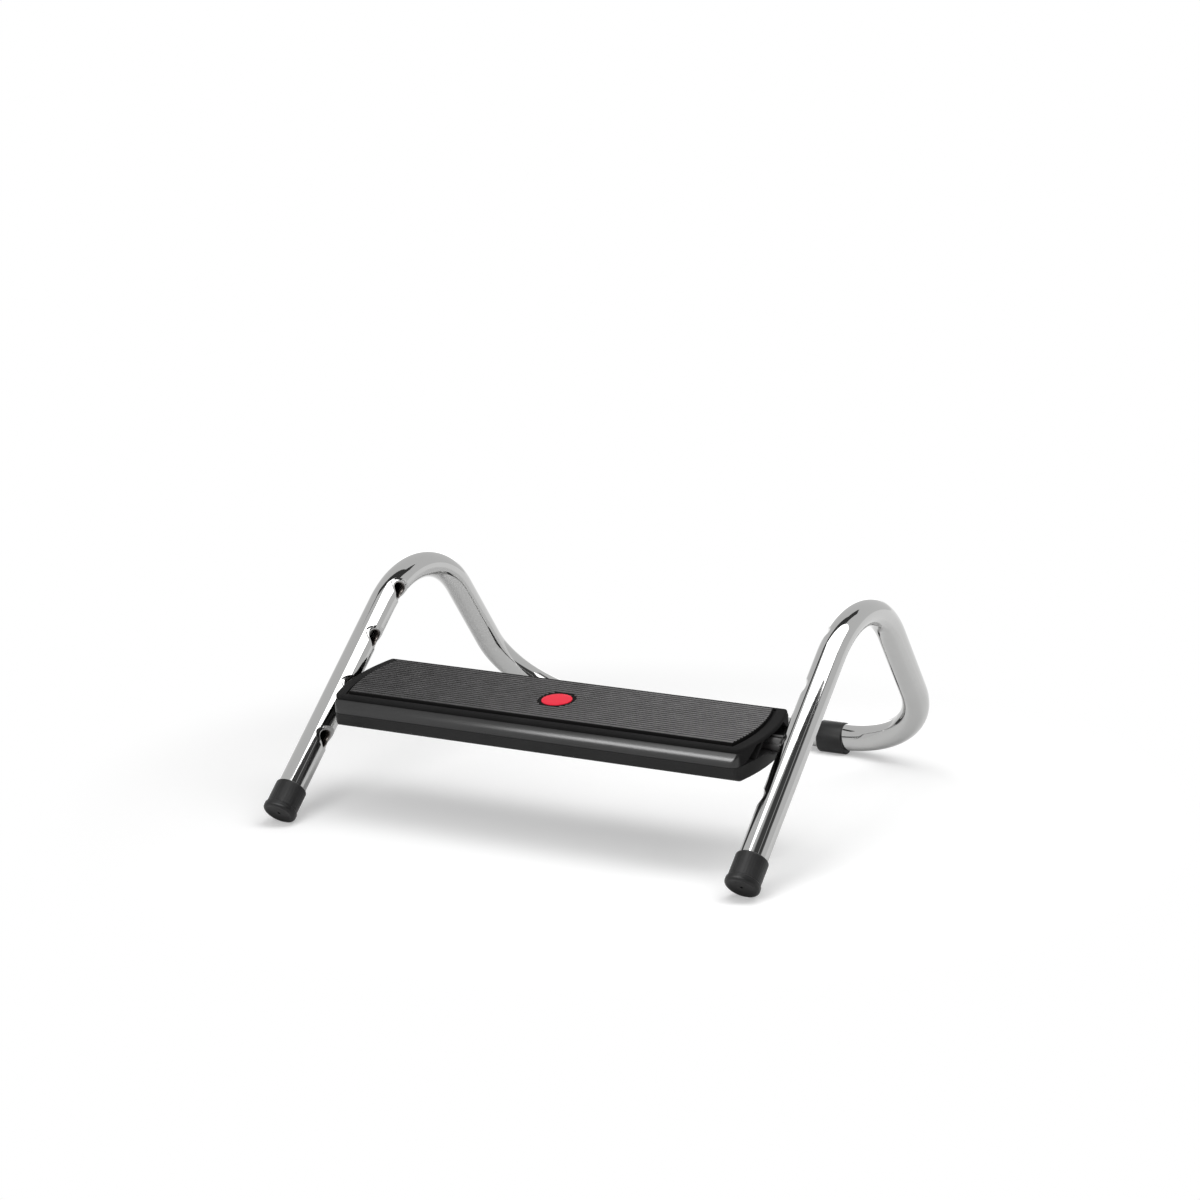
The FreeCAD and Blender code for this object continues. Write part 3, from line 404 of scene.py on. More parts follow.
def moulded_plastic(name, base, roughness, ior):
    """Moulded plastic: a fine even texture, faint flow marks, and a coat where the mesh says gloss."""
    material, sheet, place = new_material(name)
    gloss = sheet.layer("gloss")
    haze = sheet.ramp(sheet.noise(place, 22, 5, 0.62), (0.35, 0.0), (0.75, 1.0))
    flow = sheet.add("Mapping", {}, {"Vector": place, "Scale": (2.2, 30.0, 30.0)})
    streaks = sheet.noise(flow, 4, 3)
    leather = sheet.add("TexVoronoi", {"feature": "SMOOTH_F1"}, {"Vector": place, "Scale": 1500.0})
    sheet.finish(Base_Color=sheet.tint(haze, base, lighter(base, 0.006)), IOR=ior,
                 Roughness=haze * 0.07 + streaks * 0.06 + (roughness - 0.05),
                 Coat_Weight=gloss, Coat_Roughness=0.24,
                 Normal=sheet.bump(leather, 0.16, 0.00012))
    return material


def tread_rubber(base):
    """Ribbed mat: satin rubber with painted shade in its grooves; its crests carry random scuffs and
    painted light that grows towards the right.
    """
    material, sheet, place = new_material("tread_rubber")
    groove = sheet.layer("groove")
    scuff = sheet.ramp(sheet.noise(place, 70, 6, 0.7), (0.4, 0.0), (0.75, 1.0))
    grain = sheet.noise(place, 1500, 3, 0.6)
    # Painted light: the crests' colour runs from 0.6 times the base at the left end to 1.9 times at the
    # right, in place of light falling more on the right end.
    reach = 0.2
    across = sheet.add("SeparateXYZ", {}, {"Vector": place}, "X")
    along = sheet.rise(across, -reach, reach, "LINEAR")
    # The crest colour mixes random scuffs (wear) with that painted light.
    crest = sheet.tint(scuff * 0.3 + along * 0.7, darker(base, 0.6), darker(base, 1.9))
    # Painted shade: where the groove layer is 1 the colour drops to a tenth of the base, darkening the
    # grooves between the ribs and the field round the disc.
    sheet.finish(Base_Color=sheet.tint(groove, crest, darker(base, 0.1)), IOR=1.1,
                 Roughness=scuff * 0.06 + groove * 0.2 + 0.6, Normal=sheet.bump(grain, 0.3, 0.0002))
    return material


def disc_lacquer(base):
    """Bright satin plastic with a slight mottle."""
    material, sheet, place = new_material("disc_lacquer")
    mottle = sheet.noise(place, 160, 4)
    grain = sheet.noise(place, 2500, 2)
    sheet.finish(Base_Color=sheet.tint(mottle, darker(base, 0.93), base), IOR=1.2,
                 Roughness=mottle * 0.08 + 0.42, Normal=sheet.bump(grain, 0.12, 0.0001))
    return material


def zinc_plate(base):
    """Zinc plate over turned steel, with fine rings and dull patches."""
    material, sheet, place = new_material("zinc_plate")
    patches = sheet.noise(place, 120, 5, 0.65)
    lines = sheet.noise(sheet.add("Mapping", {}, {"Vector": place, "Scale": (900.0, 20.0, 20.0)}), 3, 2)
    sheet.finish(Base_Color=sheet.tint(patches, darker(base, 0.8), base), Metallic=1.0,
                 Roughness=patches * 0.2 + 0.25, Normal=sheet.bump(lines, 0.15, 0.0001))
    return material


def studio_floor(base):
    """Pale floor that keeps the object's shadow and fades to the white of the backdrop."""
    material, sheet, place = new_material("studio_floor")
    lift, mirrored_share = 0.3, 0.4
    fade_start, fade_end = 0.34, 0.52
    mottle = sheet.noise(place, 3, 3)
    seen = sheet.ray("Camera") + sheet.ray("Glossy") * mirrored_share
    cover = sheet.add("BsdfDiffuse", {}, {"Color": sheet.tint(mottle, darker(base, 0.99), base)})
    glow = sheet.add("Emission", {}, {"Strength": seen * lift})
    near = sheet.add("AddShader", {}, {0: cover, 1: glow})
    away = sheet.add("VectorMath", {"operation": "LENGTH"}, {0: place}, "Value")
    white = sheet.add("Emission", {}, {"Strength": 1.0})
    ground = sheet.add("MixShader", {}, {0: sheet.rise(away, fade_start, fade_end), 1: near, 2: white})
    sheet.add("OutputMaterial", {}, {"Surface": ground})
    return material


def dark_card():
    """The studio's dark ceiling, as reflections show it."""
    material, sheet, _ = new_material("dark_card")
    glow = sheet.add("Emission", {}, {"Strength": 0.06})
    sheet.add("OutputMaterial", {}, {"Surface": glow})
    return material


def finish_of(name):
    """The named finish, made once."""
    found = bpy.data.materials.get(name)
    if found:
        return found
    colours = bpy.context.scene.footrest_finishes
    makers = {
        "chrome_plate": lambda: chrome_plate(colours.chrome, colours.bare),
        "moulded_rubber": lambda: moulded_rubber(colours.rubber),
        "shell_plastic": lambda: moulded_plastic("shell_plastic", colours.shell, 0.7, 1.1),
        "tray_plastic": lambda: moulded_plastic("tray_plastic", colours.shell, 0.5, 1.28),
        "stub_plastic": lambda: moulded_plastic("stub_plastic", colours.stub, 0.38, 1.4),
        "tread_rubber": lambda: tread_rubber(colours.mat),
        "disc_lacquer": lambda: disc_lacquer(colours.disc),
        "zinc_plate": lambda: zinc_plate(colours.zinc),
        "studio_floor": lambda: studio_floor(colours.floor),
        "dark_card": dark_card,
    }
    return makers[name]()


# Mesh helpers

def shade(bm, sharp):
    """Smooth faces, with the sharp corners kept."""
    for face in bm.faces:
        face.smooth = True
    for edge in bm.edges:
        edge.smooth = len(edge.link_faces) == 2 and edge.calc_face_angle(0) < sharp


def put_in_scene(name, bm):
    """Turn a bmesh into an object of the scene."""
    mesh = bpy.data.meshes.new(name)
    bm.to_mesh(mesh)
    bm.free()
    item = bpy.data.objects.new(name, mesh)
    bpy.context.scene.collection.objects.link(item)
    return item


def make_piece(name, bm, body, slot, finish, *nodes, sharp=SHARP):
    """A finished piece that rides on a body and stands for CAD nodes."""
    shade(bm, sharp)
    item = put_in_scene(name, bm)
    item.data.materials.append(finish_of(finish))
    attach(item, body)
    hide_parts(*nodes)
    return item


def worked(bm, *steps):
    """Run modifiers on a bmesh.

    A step is (kind, settings), (boolean operation, tool) or a bare tool to cut with.
    """
    base = put_in_scene("work", bm)
    tools = []
    for step in steps:
        kind, what = ("DIFFERENCE", step) if isinstance(step, bmesh.types.BMesh) else step
        if isinstance(what, bmesh.types.BMesh):
            tool = put_in_scene("tool", what)
            tools.append(tool)
            modifier = base.modifiers.new(kind, "BOOLEAN")
            modifier.operation = kind
            modifier.solver = "EXACT"
            modifier.object = tool
        else:
            modifier = base.modifiers.new(kind, kind)
            for key, value in what.items():
                setattr(modifier, key, value)
    graph = bpy.context.evaluated_depsgraph_get()
    mesh = bpy.data.meshes.new_from_object(base.evaluated_get(graph))
    result = bmesh.new()
    result.from_mesh(mesh)
    bpy.data.meshes.remove(mesh)
    for item in [base, *tools]:
        mesh = item.data
        bpy.data.objects.remove(item)
        bpy.data.meshes.remove(mesh)
    if not result.faces:
        raise RuntimeError("nothing is left of a worked mesh")
    bmesh.ops.remove_doubles(result, verts=result.verts, dist=2 * WELD)
    return result


def outward(bm):
    """Turn the faces of one closed solid outwards."""
    bmesh.ops.recalc_face_normals(bm, faces=bm.faces)
    if bm.calc_volume(signed=True) < 0:
        bmesh.ops.reverse_faces(bm, faces=bm.faces)


def soften(bm, pick, width, segments=3):
    """Round the edges that pick says yes to."""
    chosen = [e for e in bm.edges if len(e.link_faces) == 2 and pick(e)]
    if not chosen:
        raise RuntimeError("no edge to soften")
    bmesh.ops.bevel(bm, geom=chosen, offset=width, offset_type="OFFSET", segments=segments, profile=0.5,
                    affect="EDGES", clamp_overlap=True, material=-1)


def turned(profile, steps, axis=Vector((0, 0, 1))):
    """Solid of revolution over (radius, height) points, which end on the axis or close to a ring."""
    bm = bmesh.new()
    verts = [bm.verts.new((radius, 0, height)) for radius, height in profile]
    for first, second in zip(verts, verts[1:]):
        bm.edges.new((first, second))
    if profile[0][0] > 0:
        bm.edges.new((verts[-1], verts[0]))
    bmesh.ops.spin(bm, geom=bm.verts[:] + bm.edges[:], cent=(0, 0, 0), axis=(0, 0, 1),
                   angle=2 * math.pi, steps=steps, use_merge=True)
    bmesh.ops.remove_doubles(bm, verts=bm.verts, dist=WELD)
    outward(bm)
    turn = Vector((0, 0, 1)).rotation_difference(axis).to_matrix()
    bmesh.ops.rotate(bm, verts=bm.verts, cent=(0, 0, 0), matrix=turn)
    return bm


def prism(outline, start, end, plane):
    """Closed prism over an outline: plane is "XY" with height in Z, or "YZ" with length in X."""
    bm = bmesh.new()
    if plane == "XY":
        verts = [bm.verts.new((x, y, start)) for x, y in outline]
        sweep = Vector((0, 0, end - start))
    else:
        verts = [bm.verts.new((start, y, z)) for y, z in outline]
        sweep = Vector((end - start, 0, 0))
    face = bm.faces.new(verts)
    swept = bmesh.ops.extrude_face_region(bm, geom=[face], use_keep_orig=True)["geom"]
    bmesh.ops.translate(bm, verts=[g for g in swept if isinstance(g, bmesh.types.BMVert)], vec=sweep)
    outward(bm)
    return bm


def half_block(half, reach):
    """Block along X over an outline's +Y half, drawn from bottom to top, and its mirror image."""
    return prism(half + [(-x, y) for x, y in reversed(half)], -reach, reach, "YZ")


def plug(radius, low, high, steps, axis=Vector((0, 0, 1))):
    """Round cutter along an axis."""
    return turned([(0, low), (radius, low), (radius, high), (0, high)], steps, axis)


def ring(bm, radius, steps, place):
    """Add an open circle, and return its edges."""
    made = bmesh.ops.create_circle(bm, cap_ends=False, segments=steps, radius=radius, matrix=place)
    return list({e for v in made["verts"] for e in v.link_edges})


def add_bar(bm, size, middle):
    """Add a box, and return its vertices."""
    verts = bmesh.ops.create_cube(bm, size=1)["verts"]
    bmesh.ops.scale(bm, verts=verts, vec=size)
    bmesh.ops.translate(bm, verts=verts, vec=middle)
    return verts


def moved(bm, x, y, z):
    """Move a whole bmesh."""
    bmesh.ops.translate(bm, verts=bm.verts, vec=(x, y, z))
    return bm


def joined(*meshes):
    """One bmesh from several, which stay apart inside it."""
    bm = bmesh.new()
    for part in meshes:
        mesh = bpy.data.meshes.new("part")
        part.to_mesh(mesh)
        part.free()
        bm.from_mesh(mesh)
        bpy.data.meshes.remove(mesh)
    return bm


def arc(start, end, radius, steps):
    """Points of an arc that turns left, its two ends left out."""
    start = Vector(start)
    end = Vector(end)
    chord = end - start
    side = Vector((-chord.y, chord.x)).normalized()
    centre = (start + end) / 2 + side * math.sqrt(max(radius ** 2 - chord.length_squared / 4, 0))
    spoke = start - centre
    sweep = 2 * math.asin(min(1, chord.length / 2 / radius))
    points = []
    for step in range(1, steps):
        turn = sweep * step / steps
        points.append(tuple(centre + Matrix.Rotation(turn, 2) @ spoke))
    return points


# Where things are

class FrameRun:
    """The centre line of the bent tube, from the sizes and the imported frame."""

    def __init__(self):
        self.sizes = bpy.context.scene.footrest_frame
        sizes = self.sizes
        low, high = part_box("left_rear_sleeve")
        crossbar_y = (low.y + high.y) / 2
        self.up_front = Vector((0, math.cos(sizes.front_angle), math.sin(sizes.front_angle)))
        self.down_rear = Vector((0, math.cos(sizes.rear_angle), -math.sin(sizes.rear_angle)))
        rise = sizes.apex_height - sizes.crossbar_height
        self.apex = Vector((sizes.side_spacing / 2, crossbar_y - rise / math.tan(sizes.rear_angle),
                            sizes.apex_height))
        self.heel = Vector((sizes.side_spacing / 2, crossbar_y, sizes.crossbar_height))
        self.apex_tangent = sizes.apex_bend * math.tan((sizes.front_angle + sizes.rear_angle) / 2)

    def foot(self):
        """Middle of a front cap's closed end, and that of the tube's end."""
        feet = bpy.context.scene.footrest_feet
        slope = self.sizes.front_angle
        radius = self.sizes.tube_radius + FIT + feet.cap_wall + feet.cap_bead
        height = ((radius - feet.cap_edge) * math.cos(slope) - feet.cap_edge * math.sin(slope)
                  + feet.cap_edge - feet.cap_flat)
        end = self.apex - self.up_front * ((self.apex.z - height) / math.sin(slope))
        return end, end + self.up_front * feet.cap_base

    def along_leg(self, point):
        """From a drawing along Z to a point of a front leg, upwards along the leg."""
        turn = Vector((0, 0, 1)).rotation_difference(self.up_front).to_matrix().to_4x4()
        return Matrix.Translation(point) @ turn

    def bend_centre(self):
        """Centre of the right top bend."""
        inward = Vector((0, self.up_front.z, -self.up_front.y))
        return self.apex - self.up_front * self.apex_tangent + inward * self.sizes.apex_bend

    def off_line(self, point):
        """How far a point beside a front leg is off its centre line, seen from the side."""
        seen = Vector((self.apex.x, point.y, point.z))
        down = (self.apex - seen).dot(self.up_front)
        if down >= self.apex_tangent:
            return (self.apex - self.up_front * down - seen).length
        return abs((seen - self.bend_centre()).length - self.sizes.apex_bend)

    def socket(self, number):
        """Centre of a socket on the leg's centre line, and the leg's upward direction there."""
        distance = self.sizes.socket_first + (number - 1) * self.sizes.socket_pitch
        if distance >= self.apex_tangent:
            return self.apex - self.up_front * distance, self.up_front
        turn = (self.apex_tangent - distance) / self.sizes.apex_bend
        inward = Vector((0, self.up_front.z, -self.up_front.y))
        centre = self.bend_centre()
        swing = Matrix.Rotation(-turn, 3, "X")
        return centre - swing @ inward * self.sizes.apex_bend, swing @ self.up_front


def side_of(point, side):
    """The same point on the left, side -1, or on the right, side 1."""
    return Vector((point.x * side, point.y, point.z))


def platform_matrix():
    """From the platform's own drawing to its place at rest."""
    pivot = Vector(next(j for j in frame["joints"] if j["name"] == "platform_tilt")["pos_m"])
    low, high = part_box("badge_disc")
    sizes = bpy.context.scene.footrest_platform
    tread = bpy.context.scene.footrest_tread
    middle = sizes.bed_level + tread.mat_base - tread.disc_sink + tread.disc_height / 2
    seen = (low + high) / 2 - pivot
    tilt = math.atan2(seen.z, seen.y) - math.atan2(middle, -sizes.axle_setback)
    turn = Matrix.Rotation(tilt, 4, "X")
    return Matrix.Translation(pivot) @ turn @ Matrix.Translation((0, -sizes.axle_setback, 0))


def bowed_end(reach, bow, depth):
    """X of a bowed end at a depth off the long centre line."""
    return reach - (bow - math.sqrt(bow ** 2 - depth ** 2))


def bow_ends(bm, reach, depth, rim):
    """Round the rims of a straight block that is short by the rim, then bow its ends and corners."""
    sizes = bpy.context.scene.footrest_platform
    steps = 5
    for side in (-1, 1):
        cap = max(bm.faces, key=lambda face: face.calc_center_median().x * side)
        for step in range(steps):
            low, high = (math.pi / 2 * part / steps for part in (step, step + 1))
            bmesh.ops.inset_region(bm, faces=[cap], thickness=rim * (math.cos(low) - math.cos(high)),
                                   depth=rim * (math.sin(high) - math.sin(low)), use_even_offset=True)
    corner = sizes.end_corner
    corner_turns = (0, 20, 38, 54, 68, 80)
    strips = 14
    marks = {depth - corner + corner * math.sin(math.radians(turn)) for turn in corner_turns}
    marks |= {(depth - corner) * step / strips for step in range(strips)}
    for mark in sorted({-m for m in marks} | marks):
        bmesh.ops.bisect_plane(bm, geom=bm.verts[:] + bm.edges[:] + bm.faces[:], plane_co=(0, mark, 0),
                               plane_no=(0, 1, 0))
    for vert in bm.verts:
        past = min(max(abs(vert.co.y) - depth + corner, 0), corner)
        bow = reach - bowed_end(reach, sizes.end_bow, vert.co.y)
        back = bow + corner - math.sqrt(corner ** 2 - past ** 2)
        vert.co.x -= math.copysign(back, vert.co.x)
    return bm


def cut_flat(bm, level, away):
    """Cut a block level and close it; away is 1 to drop what is above, -1 what is below."""
    cut = bmesh.ops.bisect_plane(bm, geom=bm.verts[:] + bm.edges[:] + bm.faces[:], plane_co=(0, 0, level),
                                 plane_no=(0, 0, away), clear_outer=True)["geom_cut"]
    bmesh.ops.edgeloop_fill(bm, edges=[g for g in cut if isinstance(g, bmesh.types.BMEdge)])
    outward(bm)
    return bm


def bowed_strip(reach, depth, bow):
    """Plan outline of a strip with two bowed ends."""
    corner = bowed_end(reach, bow, depth)
    right = [(corner, -depth)] + arc((corner, -depth), (corner, depth), bow, BOW_STEPS) + [(corner, depth)]
    return right + [(-x, -y) for x, y in right]


# Pieces of the frame

def next_loop(geometry):
    """The verts and edges at the far end of what was just extruded or spun."""
    verts = {g for g in geometry if isinstance(g, bmesh.types.BMVert)}
    edges = [g for g in geometry if isinstance(g, bmesh.types.BMEdge) and set(g.verts) <= verts]
    return list(verts), edges


def run_on(bm, loop, steps):
    """Extrude a loop along one or more vectors."""
    for step in steps:
        verts, loop = next_loop(bmesh.ops.extrude_edge_only(bm, edges=loop)["geom"])
        bmesh.ops.translate(bm, verts=verts, vec=step)
    return loop


def run_round(bm, loop, centre, axis, sweep, steps):
    """Spin a loop round a bend."""
    verts = list({v for e in loop for v in e.verts})
    last = bmesh.ops.spin(bm, geom=verts + loop, cent=centre, axis=axis, angle=sweep, steps=steps,
                          use_merge=False)["geom_last"]
    return next_loop(last)[1]


def leg_stations(run, tube_end):
    """Distances from the apex where a leg gets a row of vertices, close together at the sockets."""
    sizes = run.sizes
    rows = 20
    low, high = run.apex_tangent, (run.apex - tube_end).length
    marks = {low, high}
    reach = sizes.mouth + 3 * MM
    for number in range(1, sizes.socket_count + 1):
        middle = sizes.socket_first + (number - 1) * sizes.socket_pitch
        marks |= {middle - reach + 2 * reach * row / rows for row in range(rows + 1)}
    return sorted((m for m in marks if low <= m <= high), reverse=True)


def bent_tube(run):
    """Outside of the whole tube, from one front leg's end round to the other."""
    sizes = run.sizes
    apex_steps, rear_steps = 72, 40
    tube_end = run.foot()[1]
    bm = bmesh.new()
    loop = ring(bm, sizes.tube_radius, ROUND_STEPS, run.along_leg(side_of(tube_end, -1)))
    marks = leg_stations(run, tube_end)
    rises = [run.up_front * (a - b) for a, b in zip(marks, marks[1:])]
    loop = run_on(bm, loop, rises)
    bend = sizes.front_angle + sizes.rear_angle
    apex_centre = run.bend_centre()
    loop = run_round(bm, loop, side_of(apex_centre, -1), (-1, 0, 0), bend, apex_steps)
    leg = (run.heel - run.apex).length - run.apex_tangent - sizes.rear_bend
    loop = run_on(bm, loop, [run.down_rear * leg])
    inward = Vector((1, 0, 0))
    axis = run.down_rear.cross(inward)
    centre = side_of(run.heel, -1) - run.down_rear * sizes.rear_bend + inward * sizes.rear_bend
    loop = run_round(bm, loop, centre, axis, math.pi / 2, rear_steps)
    loop = run_on(bm, loop, [inward * (sizes.side_spacing - 2 * sizes.rear_bend)])
    centre = run.heel - run.down_rear * sizes.rear_bend - inward * sizes.rear_bend
    loop = run_round(bm, loop, centre, axis, math.pi / 2, rear_steps)
    loop = run_on(bm, loop, [-run.down_rear * leg])
    loop = run_round(bm, loop, apex_centre, (1, 0, 0), bend, apex_steps)
    run_on(bm, loop, [-rise for rise in reversed(rises)])
    bmesh.ops.recalc_face_normals(bm, faces=bm.faces)
    return bm


def socket_stations(sizes, wall=0.0):
    """Sections of a drawn-in socket: reach along and across the leg, point of the foot, depth."""
    stations = []
    steps = 14
    for step in range(steps + 1):
        turn = math.pi / 2 * step / steps
        share = 1 - math.sin(turn)
        sunk = 1 - math.cos(turn)
        along = sizes.socket_radius + (sizes.lip - sizes.socket_radius) * share + wall
        across = sizes.socket_radius + (sizes.lip_width - sizes.socket_radius) * share + wall
        foot = sizes.throat_foot + (sizes.lip_foot - sizes.throat_foot) * share
        depth = sizes.lip_depth + (sizes.throat_depth - sizes.lip_depth) * sunk + wall
        stations.append((along, min(across, sizes.mouth_width), foot, depth))
    return stations


def drawn_sockets(run, stations):
    """Solids of revolution over the stations, fitted to the curved inner sides of the front legs.

    What stands off the tube keeps a flat top.
    """
    sizes = run.sizes
    face = sizes.side_spacing / 2 - sizes.tube_radius
    shape = {round(depth / MM, 3): (across / along, along / (along + foot))
             for along, across, foot, depth in stations}
    reach, low = stations[0][0], stations[0][3]
    ring_shares = (0, 0.2, 0.4, 0.6, 0.8)
    outline = [(reach * share, low) for share in ring_shares]
    outline += [(along, depth) for along, _, _, depth in stations] + [(0, stations[-1][3])]
    solids = []
    for side in (-1, 1):
        for number in range(1, sizes.socket_count + 1):
            centre, upward = run.socket(number)
            sideways = upward.cross(Vector((1, 0, 0)))
            solid = turned(outline, SOCKET_STEPS)
            for vert in solid.verts:
                spread, point = shape[round(vert.co.z / MM, 3)]
                turn = math.atan2(vert.co.y, vert.co.x)
                radius = math.hypot(vert.co.x, vert.co.y)
                radius /= math.cos(max(math.acos(point) - abs(turn), 0))
                place = (centre - upward * radius * math.cos(turn)
                         + sideways * radius * spread * math.sin(turn))
                off = min(run.off_line(place), sizes.tube_radius - 2 * FIT)
                fall = sizes.tube_radius - math.sqrt(sizes.tube_radius ** 2 - off ** 2)
                if vert.co.z < -MM:
                    fall = 0
                vert.co = Vector((side * (face + vert.co.z + fall), place.y, place.z))
            outward(solid)
            solids.append(solid)
    return joined(*solids)


def socket_cups(run):
    """Sheet drawn in round each socket."""
    sizes = run.sizes
    start = (sizes.mouth - sizes.cup_setback, sizes.mouth_width - sizes.cup_side_setback,
             sizes.mouth_foot, sizes.tube_wall / 2)
    return drawn_sockets(run, [start] + socket_stations(sizes, sizes.cup_wall))


def socket_cutters(run):
    """Mouth, rolled lip and hole of each socket."""
    sizes = run.sizes
    above = 0.5 * MM
    clear = 2 * MM
    slope = sizes.lip_depth / (sizes.mouth - sizes.lip)
    outside = (sizes.mouth + above, sizes.mouth_width + above, sizes.mouth_foot)
    rolled = socket_stations(sizes)
    hole = (*rolled[-1][:3], sizes.throat_depth + OVERRUN + MM)
    return drawn_sockets(run, [(*outside, -clear), (*outside, -above * slope)] + rolled + [hole])


def mark_bare(bm, run):
    """How far the plating has given out: 0 outside the tube, 1 inside its sockets."""
    sizes = run.sizes
    layer = bm.verts.layers.float.new("bare")
    centres = [run.socket(number)[0] for number in range(1, sizes.socket_count + 1)]
    for vert in bm.verts:
        near = min((vert.co.yz - centre.yz).length for centre in centres)
        if near < sizes.mouth + 2 * MM:
            radius = math.hypot(run.off_line(vert.co), abs(vert.co.x) - sizes.side_spacing / 2)
            past = sizes.tube_radius - radius - sizes.plate_end
            vert[layer] = min(max(past / sizes.plate_fade, 0), 1)


def rubber_cap(run, side):
    """Push-on cap with a bead, faint flutes and a dished end, cut by the floor."""
    feet = bpy.context.scene.footrest_feet
    bore_radius = run.sizes.tube_radius + FIT
    wall = bore_radius + feet.cap_wall
    bead = wall + feet.cap_bead
    corner = bead - feet.cap_edge
    rim = corner - feet.cap_rim
    lip = feet.cap_length - feet.cap_lip
    low = feet.cap_bead_height + feet.flute_margin
    high = lip - feet.flute_margin
    outline = [(0, feet.cap_dimple_depth), (feet.cap_dimple, feet.cap_dimple_depth),
               (feet.cap_dimple, feet.cap_dish), (rim - feet.cap_slope, feet.cap_dish),
               (rim, 0), (corner, 0)]
    outline += arc(outline[-1], (bead, feet.cap_edge), feet.cap_edge, 6) + [(bead, feet.cap_edge)]
    outline += [(bead, feet.cap_bead_height - feet.cap_bead), (wall, feet.cap_bead_height)]
    flutes = (low, low + feet.flute_run, high - feet.flute_run, high)
    outline += [(wall, level) for level in (*flutes, lip)]
    outline += arc(outline[-1], (wall - feet.cap_lip, feet.cap_length), feet.cap_lip, 5)
    outline += [(wall - feet.cap_lip, feet.cap_length), (bore_radius, feet.cap_length),
                (bore_radius, feet.cap_base), (0, feet.cap_base)]
    bm = turned(outline, feet.cap_flutes * 4)
    for vert in bm.verts:
        radius = math.hypot(vert.co.x, vert.co.y)
        if low + MM < vert.co.z < high - MM and radius > bore_radius + feet.cap_wall / 2:
            turn = math.atan2(vert.co.y, vert.co.x)
            share = 1 - feet.flute_depth / radius * (0.5 - 0.5 * math.cos(turn * feet.cap_flutes))
            vert.co.x *= share
            vert.co.y *= share
    bmesh.ops.transform(bm, matrix=run.along_leg(side_of(run.foot()[0], side)), verts=bm.verts)
    return cut_flat(bm, 0, -1)


def rubber_sleeve(run, side):
    """Eccentric sleeve: thin over the crossbar, thick below, with a flat to stand on."""
    feet = bpy.context.scene.footrest_feet
    bore_radius = run.sizes.tube_radius + FIT
    top = run.heel.z + bore_radius + feet.sleeve_wall
    radius = (top + feet.sleeve_flat) / 2
    tube = Vector((0, run.heel.y, run.heel.z))
    middle = Vector((0, run.heel.y, top - radius))
    bm = bmesh.new()
    turn = Matrix.Rotation(math.pi / 2, 4, "Y")
    loops = []
    for size, centre in ((radius, middle), (bore_radius, tube)):
        loops += ring(bm, size, ROUND_STEPS, Matrix.Translation(centre) @ turn)
    bmesh.ops.bridge_loops(bm, edges=loops)
    swept = bmesh.ops.extrude_face_region(bm, geom=bm.faces[:], use_keep_orig=True)["geom"]
    far = [g for g in swept if isinstance(g, bmesh.types.BMVert)]
    bmesh.ops.translate(bm, verts=far, vec=(feet.sleeve_length, 0, 0))
    for vert in far:
        vert.co.x -= feet.sleeve_slant * vert.co.z / top
    bmesh.ops.recalc_face_normals(bm, faces=bm.faces)
    soften(bm, lambda e: e.calc_face_angle(0) > SHARP and all(
        (v.co.yz - middle.yz).length > radius - HAIR for v in e.verts), feet.sleeve_edge, 4)
    straight = run.sizes.side_spacing / 2 - run.sizes.rear_bend
    for vert in bm.verts:
        along = vert.co.x + feet.sleeve_start
        past = max(along - straight, 0)
        lift = run.sizes.rear_bend - math.sqrt(run.sizes.rear_bend ** 2 - past ** 2)
        if (vert.co.yz - tube.yz).length < bore_radius + feet.sleeve_wall / 4:
            vert.co.y -= run.down_rear.y * lift
            vert.co.z -= run.down_rear.z * lift
        vert.co.x = along * side
        vert.co.z = max(vert.co.z, 0)
    outward(bm)
    return bm


# Pieces of the platform

def nose_block(sizes, lower):
    """Both noses with the deck between them."""
    spare = 4 * MM
    half = [(sizes.nose_depth, lower - spare), (sizes.nose_depth, lower)]
    half += arc(half[1], (sizes.crease_depth, sizes.crease_level), sizes.nose_bend, 14)
    half += [(sizes.crease_depth, sizes.crease_level)]
    rim = sizes.nose_rim
    block = half_block(half, sizes.end_length - rim)
    return cut_flat(bow_ends(block, sizes.end_length, sizes.nose_depth, rim), lower, -1)


def lip_block(sizes, lower):
    """The lip round the tread, down into the deck."""
    depth = sizes.crease_depth - sizes.crease_cut
    low = (depth, sizes.lip_level - sizes.lip_round)
    high = (depth - sizes.lip_round, sizes.lip_level)
    half = [(depth, lower + MM), low] + arc(low, high, sizes.lip_round, 6) + [high]
    rim = sizes.lip_rim
    reach = sizes.end_length - 2 * FIT
    return bow_ends(half_block(half, reach - rim), reach, depth, rim)


def crease_cutters(sizes):
    """The V-shaped crease under the lip, along both noses."""
    far = sizes.end_length + OVERRUN
    edge = sizes.crease_depth
    level = sizes.crease_level
    inner = edge - sizes.crease_cut
    outline = [(edge, level + HAIR), (inner, level + HAIR), (inner, level - sizes.crease_cut)]
    other = [(-x, y) for x, y in reversed(outline)]
    return joined(prism(outline, -far, far, "YZ"), prism(other, -far, far, "YZ"))


def recess_cutters(sizes, lower):
    """Hollows of the two ends, with a slanted brace left standing in the front half."""
    wall = sizes.brace_wall / 2
    below = lower - OVERRUN
    top = sizes.recess_top
    far = sizes.end_length + OVERRUN
    rear = [(sizes.recess_depth, below), (sizes.recess_depth, lower), (sizes.recess_shoulder, top)]
    behind = rear + [(wall - sizes.brace_head, top), (wall - sizes.brace_foot, lower),
                     (wall - sizes.brace_foot, below)]
    before = [(-sizes.brace_foot - wall, below), (-sizes.brace_foot - wall, lower),
              (-sizes.brace_head - wall, top)] + [(-y, z) for y, z in reversed(rear)]
    cutters = []
    for outline in (behind, before):
        cutters.append(prism(outline, sizes.recess_length, far, "YZ"))
        cutters.append(prism(outline, -far, -sizes.recess_length, "YZ"))
    return joined(*cutters)


